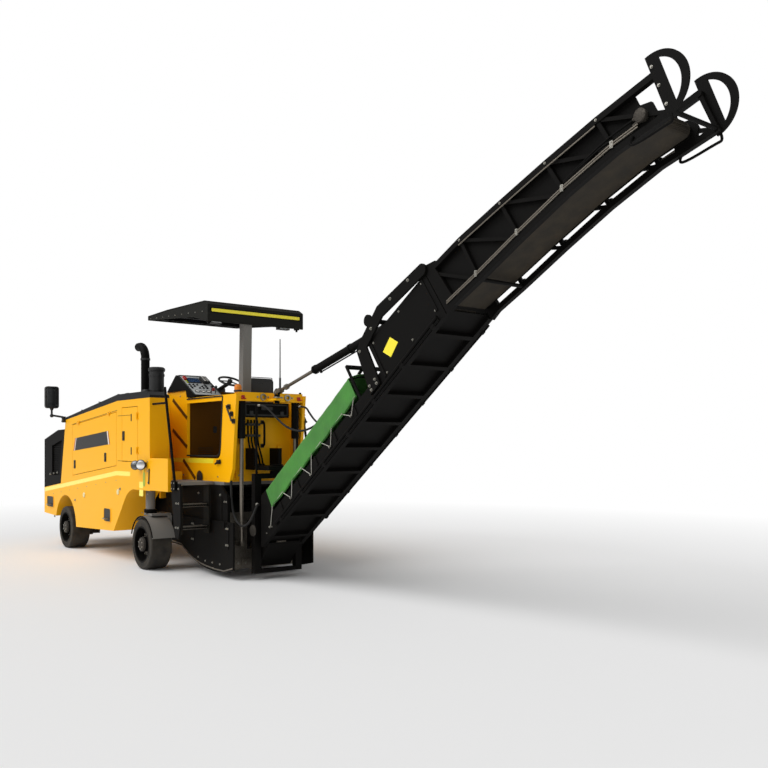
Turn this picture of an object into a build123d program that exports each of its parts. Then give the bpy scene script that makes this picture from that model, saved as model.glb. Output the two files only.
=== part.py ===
from build123d import *
import math
import os

# A wheeled rear-loading cold planer. Working frame: +X forward, +Y left, +Z up, X = 0 at the
# rear axle, Y = 0 on the centre plane and Z = 0 on the ground. Everything is in millimetres.
# At the end the machine is moved along X, so that its origin is mid-length on the ground.

# ---- driving dimensions -------------------------------------------------------------------
# body
BODY_HALF_WIDTH = 1050
PANEL = 50
FRONT_X = 4190
HOOD_TOP_Z = 2255
HOOD_TOP_FRONT_Z = 2040
BODY_TOP_REAR_Z = 1290
BODY_TOP_FRONT_Z = 925
BODY_TOP_BREAK_X = 880
POD_REAR_X = -270
POD_WALL = 40
POD_INNER_Y = BODY_HALF_WIDTH - 270
BULKHEAD_X = 430
SIDE_BOX_INNER_Y = BODY_HALF_WIDTH - 450
FENDER_REAR_X = -830
FENDER_Z = (1055, 1470)
ARCH_RADIUS = 500
ARCH_CENTRE_Z = 340
ARCH_END_Z = (370, 480)
FRONT_BOTTOM_Z = 500
POD_BOTTOM_Z = 1045

# running gear
WHEELBASE = 3080
TYRE_RADIUS = 330
TYRE_WIDTH = 285
RIM_RADIUS = 238
SPINDLE_RADIUS = 45
KINGPIN_RADIUS = 28
KINGPIN_Y = BODY_HALF_WIDTH - 410
RUNNING_CLEARANCE = 0.05
SEAT = 0.3

# operator station
STATION_HALF_WIDTH = 500
LIFT_TO_STATION = 115
STATION_WALL = 40
FLOOR_TOP_Z = 1180
FLOOR_THICKNESS = 40
STATION_REAR_X = -1260
RAIL_TOP_Z = 2265
CABINET_REAR_X = -200
CABINET_TOP_Z = 2370
CROSSBEAM_X = (-1560, -1460)
CROSSBEAM_Z = (2180, 2290)

# canopy
CANOPY_X = (-1200, 630)
CANOPY_HALF_WIDTH = 690
CANOPY_TOP_Z = 3440
CANOPY_REAR_Z = (3180, 3380)
CANOPY_SHEET = 30

# milling drum and its housing
DRUM_X = -350
DRUM_Z = 565
DRUM_CORE_RADIUS = 370
DRUM_HALF_WIDTH = 490
CHEEK_INNER_Y = DRUM_HALF_WIDTH + 20
CHEEK = 35
SIDE_PLATE = 24
SIDE_PLATE_GAP = 7
CHEEK_OUTER_Y = CHEEK_INNER_Y + CHEEK
SIDE_PLATE_Y = (CHEEK_OUTER_Y + SIDE_PLATE_GAP, CHEEK_OUTER_Y + SIDE_PLATE_GAP + SIDE_PLATE)
SCRAPER_X = (-1340, -1300)
SCRAPER_Z = (95, 800)
LIFT_X = -1500
LIFT_ROD_RADIUS = 25
LIFT_BARREL_RADIUS = 48
LIFT_BARREL_Z = (1720, 2180)

# conveyor
SLEW_X = -1700
RAISE_Z = 600
CONVEYOR_HALF_WIDTH = 300
CONVEYOR_DEPTH = 500
CONVEYOR_ANGLE = 36.1
CONVEYOR_FOOT = (-1600, 240)
FOLD_S = 4395
FOLD_H = 540
FOLD_GAP = 10
BELT_HALF_WIDTH = CONVEYOR_HALF_WIDTH - 95
BELT = 12
STAY_ANCHOR_Z = 2290
STAY_HEAD = (-4000, 2890)

# the scraper's cylinders stand between the conveyor's portal and the station's walls
LIFT_Y = CONVEYOR_HALF_WIDTH + 85
STATION_HALF_WIDTH = max(STATION_HALF_WIDTH, LIFT_Y + LIFT_TO_STATION)


# ---- helpers ------------------------------------------------------------------------------
def block(x, y, z):
    """A box from three (low, high) pairs."""
    size = Box(x[1] - x[0], y[1] - y[0], z[1] - z[0], align=(Align.MIN, Align.MIN, Align.MIN))
    return Pos(x[0], y[0], z[0]) * size


def side_face(face, y_low, y_high):
    """A sketch drawn as (X, Z) on a plane along Y, extruded from y_low to y_high."""
    return extrude(Plane.XZ.offset(-y_high) * face, y_high - y_low, dir=(0, -1, 0))


def side_plate(outline, y_low, y_high):
    """A plate along X and Z, from its (X, Z) corners."""
    return side_face(Polygon(*outline, align=None), y_low, y_high)


def bar(start, end, radius):
    """A round bar between two points."""
    run = Vector(*end) - Vector(*start)
    solid = Cylinder(radius, run.length, align=(Align.CENTER, Align.CENTER, Align.MIN))
    return Plane(origin=start, z_dir=run) * solid


def beam(start, end, width, depth):
    """A rectangular bar between two points of one (X, Z) plane, width along Y."""
    run = Vector(*end) - Vector(*start)
    solid = Box(width, depth, run.length, align=(Align.CENTER, Align.CENTER, Align.MIN))
    return Plane(origin=start, x_dir=(0, 1, 0), z_dir=run) * solid


def disc_y(x, z, radius, y_low, y_high):
    """A round disc or pin along Y."""
    return bar((x, y_low, z), (x, y_high, z), radius)


def both_sides(shape):
    """The shape and its mirror image across the centre plane."""
    return [shape, mirror(shape, about=Plane.XZ)]


def fuse(*pieces):
    """One part from shapes and lists of shapes."""
    flat = []
    for piece in pieces:
        flat.extend(piece if isinstance(piece, list) else [piece])
    return Part() + flat


def body_top(x):
    """Height of the line between the lower body and the hood at x."""
    if x <= BODY_TOP_BREAK_X:
        return BODY_TOP_REAR_Z
    share = (x - BODY_TOP_BREAK_X) / (FRONT_X - BODY_TOP_BREAK_X)
    return BODY_TOP_REAR_Z + share * (BODY_TOP_FRONT_Z - BODY_TOP_REAR_Z)


SLOPE = math.radians(CONVEYOR_ANGLE)


def on_slope(s, h):
    """(X, Z) of a point s along the lower conveyor's underside and h above it."""
    x = CONVEYOR_FOOT[0] - s * math.cos(SLOPE) + h * math.sin(SLOPE)
    z = CONVEYOR_FOOT[1] + s * math.sin(SLOPE) + h * math.cos(SLOPE)
    return (x, z)


def slope_block(s, h, y):
    """A box lying along the lower conveyor's slope."""
    corners = [on_slope(s[0], h[0]), on_slope(s[1], h[0]), on_slope(s[1], h[1]), on_slope(s[0], h[1])]
    return side_plate(corners, *y)


nodes = {}

# ---- lower body ---------------------------------------------------------------------------
ARCH_REAR_REACH, ARCH_FRONT_REACH = (
    math.sqrt(ARCH_RADIUS**2 - (z - ARCH_CENTRE_Z) ** 2) for z in ARCH_END_Z
)


def side_box():
    """Tank and locker box along the left flank, with both wheel arches."""
    edge = [
        Polyline(
            (WHEELBASE + ARCH_FRONT_REACH, ARCH_END_Z[1]),
            (FRONT_X, FRONT_BOTTOM_Z),
            (FRONT_X, BODY_TOP_FRONT_Z),
            (BODY_TOP_BREAK_X, BODY_TOP_REAR_Z),
            (POD_REAR_X, BODY_TOP_REAR_Z),
            (POD_REAR_X, POD_BOTTOM_Z),
            (290, POD_BOTTOM_Z),
        ),
        ThreePointArc((290, POD_BOTTOM_Z), (470, 985), (600, 875)),
        Polyline((600, 875), (1000, 430), (WHEELBASE - ARCH_REAR_REACH, ARCH_END_Z[0])),
        ThreePointArc(
            (WHEELBASE - ARCH_REAR_REACH, ARCH_END_Z[0]),
            (WHEELBASE, ARCH_CENTRE_Z + ARCH_RADIUS),
            (WHEELBASE + ARCH_FRONT_REACH, ARCH_END_Z[1]),
        ),
    ]
    return side_face(make_face(edge), SIDE_BOX_INNER_Y, BODY_HALF_WIDTH)


def fender():
    """Sheet that carries the flank on behind the rear wheel."""
    return block((FENDER_REAR_X, POD_REAR_X), (BODY_HALF_WIDTH - PANEL, BODY_HALF_WIDTH), FENDER_Z)


FRONT_PANEL_Z = (FRONT_BOTTOM_Z, BODY_TOP_FRONT_Z)
front_panel = block((FRONT_X - 60, FRONT_X), (-SIDE_BOX_INNER_Y, SIDE_BOX_INNER_Y), FRONT_PANEL_Z)
nodes["lower_body"] = fuse(both_sides(side_box()), front_panel)
nodes["rear_fenders"] = Compound(both_sides(fender()))

# ---- frame, engine and axles --------------------------------------------------------------
RAIL_Y = (400, 480)
RAIL_Z = (560, 900)
CROSS_Z = (600, 860)


def main_frame():
    rails = both_sides(block((BULKHEAD_X, FRONT_X - 60), RAIL_Y, RAIL_Z))
    outriggers = []
    for x in (1100, 2400, 3800):
        outriggers += both_sides(block((x, x + 80), (RAIL_Y[1], SIDE_BOX_INNER_Y), (700, 880)))
    crosses = []
    for x in (BULKHEAD_X, 1500, WHEELBASE - 60, 3900):
        crosses.append(block((x, x + 120), (-RAIL_Y[0], RAIL_Y[0]), CROSS_Z))
    return fuse(rails, outriggers, crosses)


AXLE_BEAM_Z = (TYRE_RADIUS - 60, TYRE_RADIUS + 60)
EAR_UPPER_Z = (TYRE_RADIUS + 83, TYRE_RADIUS + 120)
EAR_LOWER_Z = (TYRE_RADIUS - 120, TYRE_RADIUS - 83)
FORK_Y = (KINGPIN_Y - 120, KINGPIN_Y - 80)
KNUCKLE_RADIUS = 60


def front_axle():
    """Beam with a fork at each end for the steering knuckles, under its pivot block."""
    x = WHEELBASE
    beam_block = block((x - 60, x + 60), (-FORK_Y[1], FORK_Y[1]), AXLE_BEAM_Z)
    saddle = block((x - 55, x + 55), (-150, 150), (AXLE_BEAM_Z[1], CROSS_Z[0]))
    ends = both_sides(block((x - 70, x + 70), FORK_Y, (EAR_LOWER_Z[0], EAR_UPPER_Z[1])))
    ears = []
    for low, high in (EAR_UPPER_Z, EAR_LOWER_Z):
        ear = block((x - 60, x + 60), (FORK_Y[1], KINGPIN_Y), (low, high))
        ear += bar((x, KINGPIN_Y, low), (x, KINGPIN_Y, high), KNUCKLE_RADIUS)
        ear -= bar((x, KINGPIN_Y, low), (x, KINGPIN_Y, high), KINGPIN_RADIUS + RUNNING_CLEARANCE)
        ears += both_sides(ear)
    return fuse(beam_block, saddle, ends, ears)


WHEEL_Y = BODY_HALF_WIDTH - TYRE_WIDTH / 2
WHEEL_INNER_Y = BODY_HALF_WIDTH - TYRE_WIDTH
SPINDLE_END_Y = BODY_HALF_WIDTH - 95
HUB_RADIUS = 95


def front_knuckle():
    """Left steering knuckle: kingpin, barrel and wheel spindle."""
    x = WHEELBASE
    kingpin = bar((x, KINGPIN_Y, TYRE_RADIUS - 140), (x, KINGPIN_Y, TYRE_RADIUS + 140), KINGPIN_RADIUS)
    barrel = bar((x, KINGPIN_Y, TYRE_RADIUS - 80), (x, KINGPIN_Y, TYRE_RADIUS + 80), KNUCKLE_RADIUS)
    neck = disc_y(x, TYRE_RADIUS, 62, KINGPIN_Y, WHEEL_INNER_Y)
    spindle = disc_y(x, TYRE_RADIUS, SPINDLE_RADIUS, WHEEL_INNER_Y, SPINDLE_END_Y)
    return fuse(kingpin, barrel, neck, spindle)


def tyre(x):
    ring = Cylinder(TYRE_RADIUS, TYRE_WIDTH) - Cylinder(RIM_RADIUS, TYRE_WIDTH)
    crown = ring.edges().filter_by(GeomType.CIRCLE).sort_by(SortBy.RADIUS)[-2:]
    ring = fillet(crown, 22)
    return Pos(x, WHEEL_Y, TYRE_RADIUS) * Rot(90, 0, 0) * ring


def rim(x):
    """Rim band, disc and hub, bored for its spindle."""
    z = TYRE_RADIUS
    band = disc_y(x, z, RIM_RADIUS, WHEEL_INNER_Y, BODY_HALF_WIDTH)
    band -= disc_y(x, z, RIM_RADIUS - 18, WHEEL_INNER_Y, BODY_HALF_WIDTH)
    web = disc_y(x, z, RIM_RADIUS - 18, WHEEL_Y + 10, WHEEL_Y + 36)
    hub = disc_y(x, z, HUB_RADIUS, WHEEL_INNER_Y + 10, BODY_HALF_WIDTH - 25)
    bore = disc_y(x, z, SPINDLE_RADIUS + RUNNING_CLEARANCE, WHEEL_INNER_Y, SPINDLE_END_Y + 5)
    return fuse(band, web, hub) - bore


LEG_COLUMN_X = 40
LEG_PLATE_Y = (WHEEL_INNER_Y - 75, WHEEL_INNER_Y - 25)
SHELF_Z = (2 * TYRE_RADIUS + 45, 2 * TYRE_RADIUS + 75)
GUARD_GAP = 30


def rear_leg():
    """Left rear lifting column with its mudguard, axle plate and spindle."""
    x, y = LEG_COLUMN_X, WHEEL_Y
    column = bar((x, y, SHELF_Z[1] - 5), (x, y, POD_BOTTOM_Z), 62)
    shelf = block((-130, 130), (LEG_PLATE_Y[0], WHEEL_Y + 55), SHELF_Z)
    plate = block((-150, 150), LEG_PLATE_Y, (TYRE_RADIUS - 130, SHELF_Z[0]))
    neck = disc_y(0, TYRE_RADIUS, 62, LEG_PLATE_Y[1], WHEEL_INNER_Y)
    spindle = disc_y(0, TYRE_RADIUS, SPINDLE_RADIUS, WHEEL_INNER_Y, SPINDLE_END_Y)
    guard_y = (LEG_PLATE_Y[1], BODY_HALF_WIDTH)
    guard = disc_y(0, TYRE_RADIUS, TYRE_RADIUS + GUARD_GAP + 12, *guard_y)
    guard -= disc_y(0, TYRE_RADIUS, TYRE_RADIUS + GUARD_GAP, *guard_y)
    guard_z = (TYRE_RADIUS + 100, SHELF_Z[0] + 1)
    guard &= block((-TYRE_RADIUS - 70, 200), (LEG_PLATE_Y[0], BODY_HALF_WIDTH), guard_z)
    return fuse(column, shelf, plate, neck, spindle, guard)


nodes["main_frame"] = main_frame()
ENGINE_HALF_WIDTH = RAIL_Y[1] - 40
nodes["engine_block"] = block((1200, 2700), (-ENGINE_HALF_WIDTH, ENGINE_HALF_WIDTH), (RAIL_Z[1], 1850))
nodes["front_axle"] = front_axle()
nodes["front_left_knuckle"], nodes["front_right_knuckle"] = both_sides(front_knuckle())
for end, axle_x in (("front", WHEELBASE), ("rear", 0)):
    nodes[end + "_left_tyre"], nodes[end + "_right_tyre"] = both_sides(tyre(axle_x))
    nodes[end + "_left_rim"], nodes[end + "_right_rim"] = both_sides(rim(axle_x))
nodes["rear_legs"] = Compound(both_sides(rear_leg()))

# ---- hood, doors and radiator -------------------------------------------------------------
HOOD_FRONT_BOTTOM_X = 3322
HOOD_FRONT_TOP_X = 3085
HOOD_BREAK_X = 860
DOOR_GAP = 8
DOOR_SKIN = 24
ENGINE_DOOR = [(2740, 1170), (900, 1355), (900, 2100), (2740, 1950)]
SERVICE_DOOR = [(680, 1420), (140, 1420), (140, 2150), (680, 2150)]

HINGE_OUT = 12
HINGE_BARREL = 9
HINGE_PIN = 4.5
HINGE_LEAF = (32, 8)
HINGE_HALF_LENGTH = 48
HINGE_MOVING_HALF = 25


def tube_x(start, end, radius):
    """A round bar along X."""
    return bar((start, 0, 0), (end, 0, 0), radius)


def door_hinge(plane):
    """Fixed and moving halves of a hinge; the plane's X is the pin, Y the fixed side, Z outward."""
    leaf_width, leaf_sheet = HINGE_LEAF
    leaf_z = (-HINGE_OUT, -HINGE_OUT + leaf_sheet)
    half = HINGE_HALF_LENGTH
    moving_half = HINGE_MOVING_HALF
    fixed = [tube_x(-half, half, HINGE_PIN)]
    for start, end in ((-half, -moving_half - 1), (moving_half + 1, half)):
        fixed += [tube_x(start, end, HINGE_BARREL), block((start, end), (0, leaf_width), leaf_z)]
    moving = tube_x(-moving_half, moving_half, HINGE_BARREL)
    moving += block((-moving_half, moving_half), (-leaf_width, 0), leaf_z)
    moving -= tube_x(-moving_half, moving_half, HINGE_PIN + RUNNING_CLEARANCE)
    return plane * fuse(fixed), plane * moving


def hinge_planes(edge_start, edge_end, shares):
    """Hinge frames along a door edge, in the middle of the gap and outside the left flank."""
    start, end = Vector(edge_start[0], 0, edge_start[1]), Vector(edge_end[0], 0, edge_end[1])
    run = (start - end).normalized()
    away = Vector(0, 1, 0).cross(run)
    planes = []
    for share in shares:
        spot = start + (end - start) * share + away * (DOOR_GAP / 2)
        origin = (spot.X, BODY_HALF_WIDTH + HINGE_OUT, spot.Z)
        planes.append(Plane(origin=origin, x_dir=run, z_dir=(0, 1, 0)))
    return planes


ENGINE_HINGES = hinge_planes(ENGINE_DOOR[2], ENGINE_DOOR[3], (0.15, 0.85))
SERVICE_HINGES = hinge_planes(SERVICE_DOOR[1], SERVICE_DOOR[2], (0.2, 0.83))


def grown(outline, gap):
    """A convex (X, Z) outline moved out by a gap."""
    return offset(Polygon(*outline, align=None), gap, kind=Kind.INTERSECTION)


def hood_side():
    """Left hood side with its two door openings and the rear pod's walls."""
    outline = [
        (HOOD_FRONT_BOTTOM_X, body_top(HOOD_FRONT_BOTTOM_X)),
        (HOOD_FRONT_TOP_X, HOOD_TOP_FRONT_Z),
        (HOOD_BREAK_X, HOOD_TOP_Z),
        (POD_REAR_X, HOOD_TOP_Z),
        (POD_REAR_X, BODY_TOP_REAR_Z),
        (BODY_TOP_BREAK_X, BODY_TOP_REAR_Z),
    ]
    skin = side_plate(outline, BODY_HALF_WIDTH - PANEL, BODY_HALF_WIDTH)
    for door in (ENGINE_DOOR, SERVICE_DOOR):
        skin -= side_face(grown(door, DOOR_GAP), BODY_HALF_WIDTH - PANEL, BODY_HALF_WIDTH)
    z = (BODY_TOP_REAR_Z, HOOD_TOP_Z)
    rear = block((POD_REAR_X, POD_REAR_X + PANEL), (POD_INNER_Y, BODY_HALF_WIDTH - PANEL), z)
    inner = block((POD_REAR_X + PANEL, BULKHEAD_X), (POD_INNER_Y, POD_INNER_Y + POD_WALL), z)
    halves = [door_hinge(plane)[0] for plane in ENGINE_HINGES + SERVICE_HINGES]
    return fuse(skin, rear, inner, halves)


def hood_top():
    outline = [
        (HOOD_FRONT_TOP_X, HOOD_TOP_FRONT_Z),
        (HOOD_BREAK_X, HOOD_TOP_Z),
        (POD_REAR_X, HOOD_TOP_Z),
        (POD_REAR_X, HOOD_TOP_Z + 35),
        (POD_REAR_X + 200, HOOD_TOP_Z + 90),
        (HOOD_BREAK_X, HOOD_TOP_Z + 90),
        (HOOD_FRONT_TOP_X - 15, HOOD_TOP_FRONT_Z + 40),
    ]
    top = side_plate(outline, -BODY_HALF_WIDTH, BODY_HALF_WIDTH)
    notch = block((POD_REAR_X - 10, BULKHEAD_X), (-POD_INNER_Y, POD_INNER_Y), (2000, 2500))
    return top - notch


def engine_door():
    """Top-hinged door in the left hood side."""
    skin = side_plate(ENGINE_DOOR, BODY_HALF_WIDTH - DOOR_SKIN, BODY_HALF_WIDTH)
    return fuse(skin, [door_hinge(plane)[1] for plane in ENGINE_HINGES])


def service_door():
    """Rear-hinged door at the left rear of the hood."""
    skin = side_plate(SERVICE_DOOR, BODY_HALF_WIDTH - DOOR_SKIN, BODY_HALF_WIDTH)
    return fuse(skin, [door_hinge(plane)[1] for plane in SERVICE_HINGES])


GRILLE_OPENING = [(3780, 1140), (3780, 1630), (3270, 1725), (3395, 1160)]
RADIATOR_TOP = [(FRONT_X, 1735), (3470, 1885), (3126, 1892)]
FRONT_OPENING = (BODY_HALF_WIDTH - 190, 1060, 1630)


def radiator_surround():
    """Dark front section: two flanks, a front frame and a sloping top."""
    low_rear = (HOOD_FRONT_BOTTOM_X + 4, body_top(HOOD_FRONT_BOTTOM_X + 4))
    outline = [(FRONT_X, BODY_TOP_FRONT_Z), *RADIATOR_TOP, low_rear]
    whole = side_plate(outline, -BODY_HALF_WIDTH, BODY_HALF_WIDTH)
    inner_outline = [
        (FRONT_X - PANEL, 900),
        (FRONT_X - PANEL, 1700),
        (3465, 1845),
        (3000, 1852),
        (3000, 900),
    ]
    whole -= side_plate(inner_outline, PANEL - BODY_HALF_WIDTH, BODY_HALF_WIDTH - PANEL)
    whole -= fuse(both_sides(side_plate(GRILLE_OPENING, BODY_HALF_WIDTH - 2 * PANEL, BODY_HALF_WIDTH)))
    half, low, high = FRONT_OPENING
    return whole - block((FRONT_X - 2 * PANEL, FRONT_X), (-half, half), (low, high))


def side_grille():
    return side_face(grown(GRILLE_OPENING, 20), BODY_HALF_WIDTH - PANEL - 20, BODY_HALF_WIDTH - PANEL)


def bulkhead():
    """Wall before the station, wide above the side boxes and narrow between them."""
    x = (BULKHEAD_X, BULKHEAD_X + PANEL)
    wide = POD_INNER_Y + POD_WALL
    narrow = SIDE_BOX_INNER_Y - 5
    upper = block(x, (-wide, wide), (BODY_TOP_REAR_Z, HOOD_TOP_Z))
    return upper + block(x, (-narrow, narrow), (RAIL_Z[1], BODY_TOP_REAR_Z))


nodes["hood_shell"] = fuse(both_sides(hood_side()), bulkhead())
nodes["hood_top"] = hood_top()
nodes["left_engine_door"], nodes["right_engine_door"] = both_sides(engine_door())
nodes["left_service_door"], nodes["right_service_door"] = both_sides(service_door())
nodes["radiator_surround"] = radiator_surround()
front_grille = block(
    (FRONT_X - PANEL - 20, FRONT_X - PANEL),
    (-FRONT_OPENING[0] - 20, FRONT_OPENING[0] + 20),
    (FRONT_OPENING[1] - 20, FRONT_OPENING[2] + 20),
)
nodes["radiator_grilles"] = Compound(both_sides(side_grille()) + [front_grille])

# ---- on the hood --------------------------------------------------------------------------
STACK_X = 1200
STACK_Y = 500
STACK_RADIUS = 62
STACK_BEND = 190


def exhaust_stack():
    base_z = HOOD_TOP_Z
    turn_z = 2905
    spine = Wire(
        [
            Edge.make_line((STACK_X, STACK_Y, base_z), (STACK_X, STACK_Y, turn_z)),
            ThreePointArc(
                (STACK_X, STACK_Y, turn_z),
                (
                    STACK_X + STACK_BEND * (1 - math.cos(math.pi / 4)),
                    STACK_Y,
                    turn_z + STACK_BEND * math.sin(math.pi / 4),
                ),
                (STACK_X + STACK_BEND, STACK_Y, turn_z + STACK_BEND),
            ),
            Edge.make_line(
                (STACK_X + STACK_BEND, STACK_Y, turn_z + STACK_BEND),
                (STACK_X + STACK_BEND + 60, STACK_Y, turn_z + STACK_BEND),
            ),
        ]
    )
    section = Plane(origin=(STACK_X, STACK_Y, base_z)) * (Circle(STACK_RADIUS) - Circle(STACK_RADIUS - 5))
    return sweep(section, path=spine)


def air_cleaner():
    x, y, z = 790, 500, HOOD_TOP_Z + 90
    return fuse(bar((x, y, z), (x, y, z + 350), 102), bar((x, y, z + 350), (x, y, z + 385), 112))


def mirror_left():
    y = BODY_HALF_WIDTH
    head = fillet(block((3175, 3235), (y + 75, y + 285), (2225, 2575)).edges().filter_by(Axis.X), 40)
    stem = bar((3205, y + 180, 2105), (3205, y + 180, 2230), 16)
    foot = bar((3205, y + 185, 2115), (3110, y + 30, 2085), 16)
    clamp = block((3072, 3140), (BODY_HALF_WIDTH, BODY_HALF_WIDTH + 45), (2000, 2095))
    clamp -= block((3000, 3087), (BODY_HALF_WIDTH - 5, BODY_HALF_WIDTH), (1990, 2100))
    return fuse(head, stem, foot, clamp)


nodes["exhaust_stack"] = exhaust_stack() - nodes["hood_top"]
nodes["air_cleaner"] = air_cleaner()
nodes["mirrors"] = Compound(both_sides(mirror_left()))

# ---- operator station ---------------------------------------------------------------------
OPENING_LOW_Z = 1470
OPENING_TOP_Z = 2195


def station_wall():
    """Left wall with its rounded opening; its rear edge is the slanting corner post."""
    outline = [
        (BULKHEAD_X, FLOOR_TOP_Z),
        (BULKHEAD_X, CABINET_TOP_Z),
        (CABINET_REAR_X + 10, CABINET_TOP_Z),
        (CABINET_REAR_X - 30, RAIL_TOP_Z),
        (-1580, RAIL_TOP_Z),
        (-1480, 1340),
        (-1400, FLOOR_TOP_Z),
    ]
    wall = side_plate(outline, STATION_HALF_WIDTH - STATION_WALL, STATION_HALF_WIDTH)
    opening = [
        Polyline(
            (-1170, OPENING_LOW_Z + 90),
            (-1230, OPENING_TOP_Z),
            (CABINET_REAR_X - 10, OPENING_TOP_Z),
            (CABINET_REAR_X - 10, OPENING_LOW_Z),
            (-1080, OPENING_LOW_Z),
        ),
        ThreePointArc((-1080, OPENING_LOW_Z), (-1142, OPENING_LOW_Z + 26), (-1170, OPENING_LOW_Z + 90)),
    ]
    return wall - side_face(make_face(opening), 0, 2 * STATION_HALF_WIDTH)


INNER_Y = STATION_HALF_WIDTH - STATION_WALL
FLOOR_Z = (FLOOR_TOP_Z - FLOOR_THICKNESS, FLOOR_TOP_Z)
LANDING_OUTER_Y = BODY_HALF_WIDTH - 65
landing = block((-1000, POD_REAR_X), (STATION_HALF_WIDTH, LANDING_OUTER_Y), FLOOR_Z)
floor = block((STATION_REAR_X, BULKHEAD_X), (-STATION_HALF_WIDTH, STATION_HALF_WIDTH), FLOOR_Z)
nodes["station_side_walls"] = Compound(both_sides(station_wall()))
nodes["station_floor"] = fuse(floor, both_sides(landing))
nodes["station_rear_wall"] = block(
    (STATION_REAR_X, STATION_REAR_X + 40), (-INNER_Y, INNER_Y), (FLOOR_TOP_Z, 2170)
)
CABINET_X = (CABINET_REAR_X, BULKHEAD_X)
nodes["cabinet"] = block(CABINET_X, (-INNER_Y, INNER_Y), (FLOOR_TOP_Z, CABINET_TOP_Z))


def instrument_console():
    """Wedge on the cabinet whose rear slope carries the instruments."""
    outline = [
        (400, CABINET_TOP_Z),
        (110, 2590),
        (70, 2590),
        (-480, 2285),
        (-480, RAIL_TOP_Z + 8),
        (CABINET_REAR_X - 35, RAIL_TOP_Z + 8),
        (CABINET_REAR_X - 5, CABINET_TOP_Z),
    ]
    return side_plate(outline, 100, STATION_HALF_WIDTH + 20)


def steering_wheel():
    tilt = 25
    rim_ring = Torus(150, 14)
    hub = Cylinder(32, 40)
    spokes = [Rot(0, 0, angle) * Pos(75, 0, 0) * Box(150, 22, 10) for angle in (90, 210, 330)]
    wheel = Pos(-470, 0, 2500) * Rot(0, -tilt, 0) * fuse(rim_ring, hub, spokes)
    column = bar((-130, 0, 2398), (-458, 0, 2480), 26)
    pod = block((CABINET_REAR_X, -60), (-70, 70), (CABINET_TOP_Z, 2420))
    return fuse(wheel, column, pod)


def operator_seat():
    back = fillet(block((-1000, -930), (-385, 15), (1900, 2540)).edges().filter_by(Axis.X), 50)
    cushion = fillet(block((-930, -520), (-385, 15), (1780, 1890)).edges().filter_by(Axis.X), 30)
    link = block((-1000, -930), (-300, -70), (1780, 1910))
    pedestal = block((-880, -620), (-300, -70), (FLOOR_TOP_Z, 1780))
    return fuse(back, cushion, link, pedestal)


nodes["console"] = instrument_console()
nodes["steering_wheel"] = steering_wheel()
nodes["operator_seat"] = operator_seat()

STAY_LUG_Z = (2188, 2213)
LUG_PIN_RADIUS = 20


def rear_crossbeam():
    """Yellow beam between the corner posts, with the stay's lug."""
    beam_block = block(CROSSBEAM_X, (-INNER_Y, INNER_Y), CROSSBEAM_Z)
    lug = block((SLEW_X - 60, CROSSBEAM_X[0]), (-60, 60), STAY_LUG_Z)
    hole = bar((SLEW_X, 0, 2100), (SLEW_X, 0, 2230), LUG_PIN_RADIUS + RUNNING_CLEARANCE)
    return fuse(beam_block, lug) - hole


def lift_barrel():
    """Barrel of the left scraper cylinder, hung below the crossbeam."""
    barrel = bar((LIFT_X, LIFT_Y, LIFT_BARREL_Z[0]), (LIFT_X, LIFT_Y, LIFT_BARREL_Z[1]), LIFT_BARREL_RADIUS)
    bore = bar(
        (LIFT_X, LIFT_Y, LIFT_BARREL_Z[0]),
        (LIFT_X, LIFT_Y, LIFT_BARREL_Z[1] - 15),
        LIFT_ROD_RADIUS + RUNNING_CLEARANCE,
    )
    return barrel - bore


def slew_bracket():
    """Arm behind the station that holds the conveyor's slewing frame from above."""
    arm = block((SLEW_X - 140, STATION_REAR_X), (-200, 200), (1330, 1380))
    web = both_sides(block((-1480, STATION_REAR_X), (150, 200), (1380, 1600)))
    hole = bar((SLEW_X, 0, 1300), (SLEW_X, 0, 1400), 50 + RUNNING_CLEARANCE)
    return fuse(arm, web) - hole


nodes["rear_crossbeam"] = rear_crossbeam()
nodes["lift_barrels"] = Compound(both_sides(lift_barrel()))
nodes["slew_bracket"] = slew_bracket()
nodes["rear_locker"] = block((-1440, STATION_REAR_X), (-330, 330), (1990, 2170))


def canopy_roof():
    """Roof tray, deep at the rear and thin at the front, open below."""
    outline = [
        (CANOPY_X[0], CANOPY_REAR_Z[0]),
        (CANOPY_X[0], CANOPY_REAR_Z[1]),
        (CANOPY_X[0] + 90, CANOPY_TOP_Z - 10),
        (0, CANOPY_TOP_Z + 10),
        (CANOPY_X[1], CANOPY_TOP_Z),
        (CANOPY_X[1], CANOPY_TOP_Z - 50),
        (CANOPY_X[0] + 400, CANOPY_REAR_Z[0] + 90),
    ]
    inside = [
        (CANOPY_X[0] + CANOPY_SHEET, CANOPY_REAR_Z[0] - 10),
        (CANOPY_X[0] + CANOPY_SHEET, CANOPY_REAR_Z[1] - CANOPY_SHEET),
        (CANOPY_X[0] + 100, CANOPY_TOP_Z - 10 - CANOPY_SHEET),
        (0, CANOPY_TOP_Z + 10 - CANOPY_SHEET),
        (CANOPY_X[1] - CANOPY_SHEET, CANOPY_TOP_Z - CANOPY_SHEET),
        (CANOPY_X[1] - CANOPY_SHEET, CANOPY_REAR_Z[0] - 10),
    ]
    roof = side_plate(outline, -CANOPY_HALF_WIDTH, CANOPY_HALF_WIDTH)
    return roof - side_plate(inside, CANOPY_SHEET - CANOPY_HALF_WIDTH, CANOPY_HALF_WIDTH - CANOPY_SHEET)


def canopy_post():
    """Single leaning post behind the operator."""
    top = CANOPY_TOP_Z - CANOPY_SHEET
    outline = [
        (-1120, FLOOR_TOP_Z),
        (-1010, FLOOR_TOP_Z),
        (-1080, top),
        (CANOPY_X[0] + 100, top),
        (-1185, CANOPY_REAR_Z[1] - CANOPY_SHEET + 12),
    ]
    return side_plate(outline, 60, 180)


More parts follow.
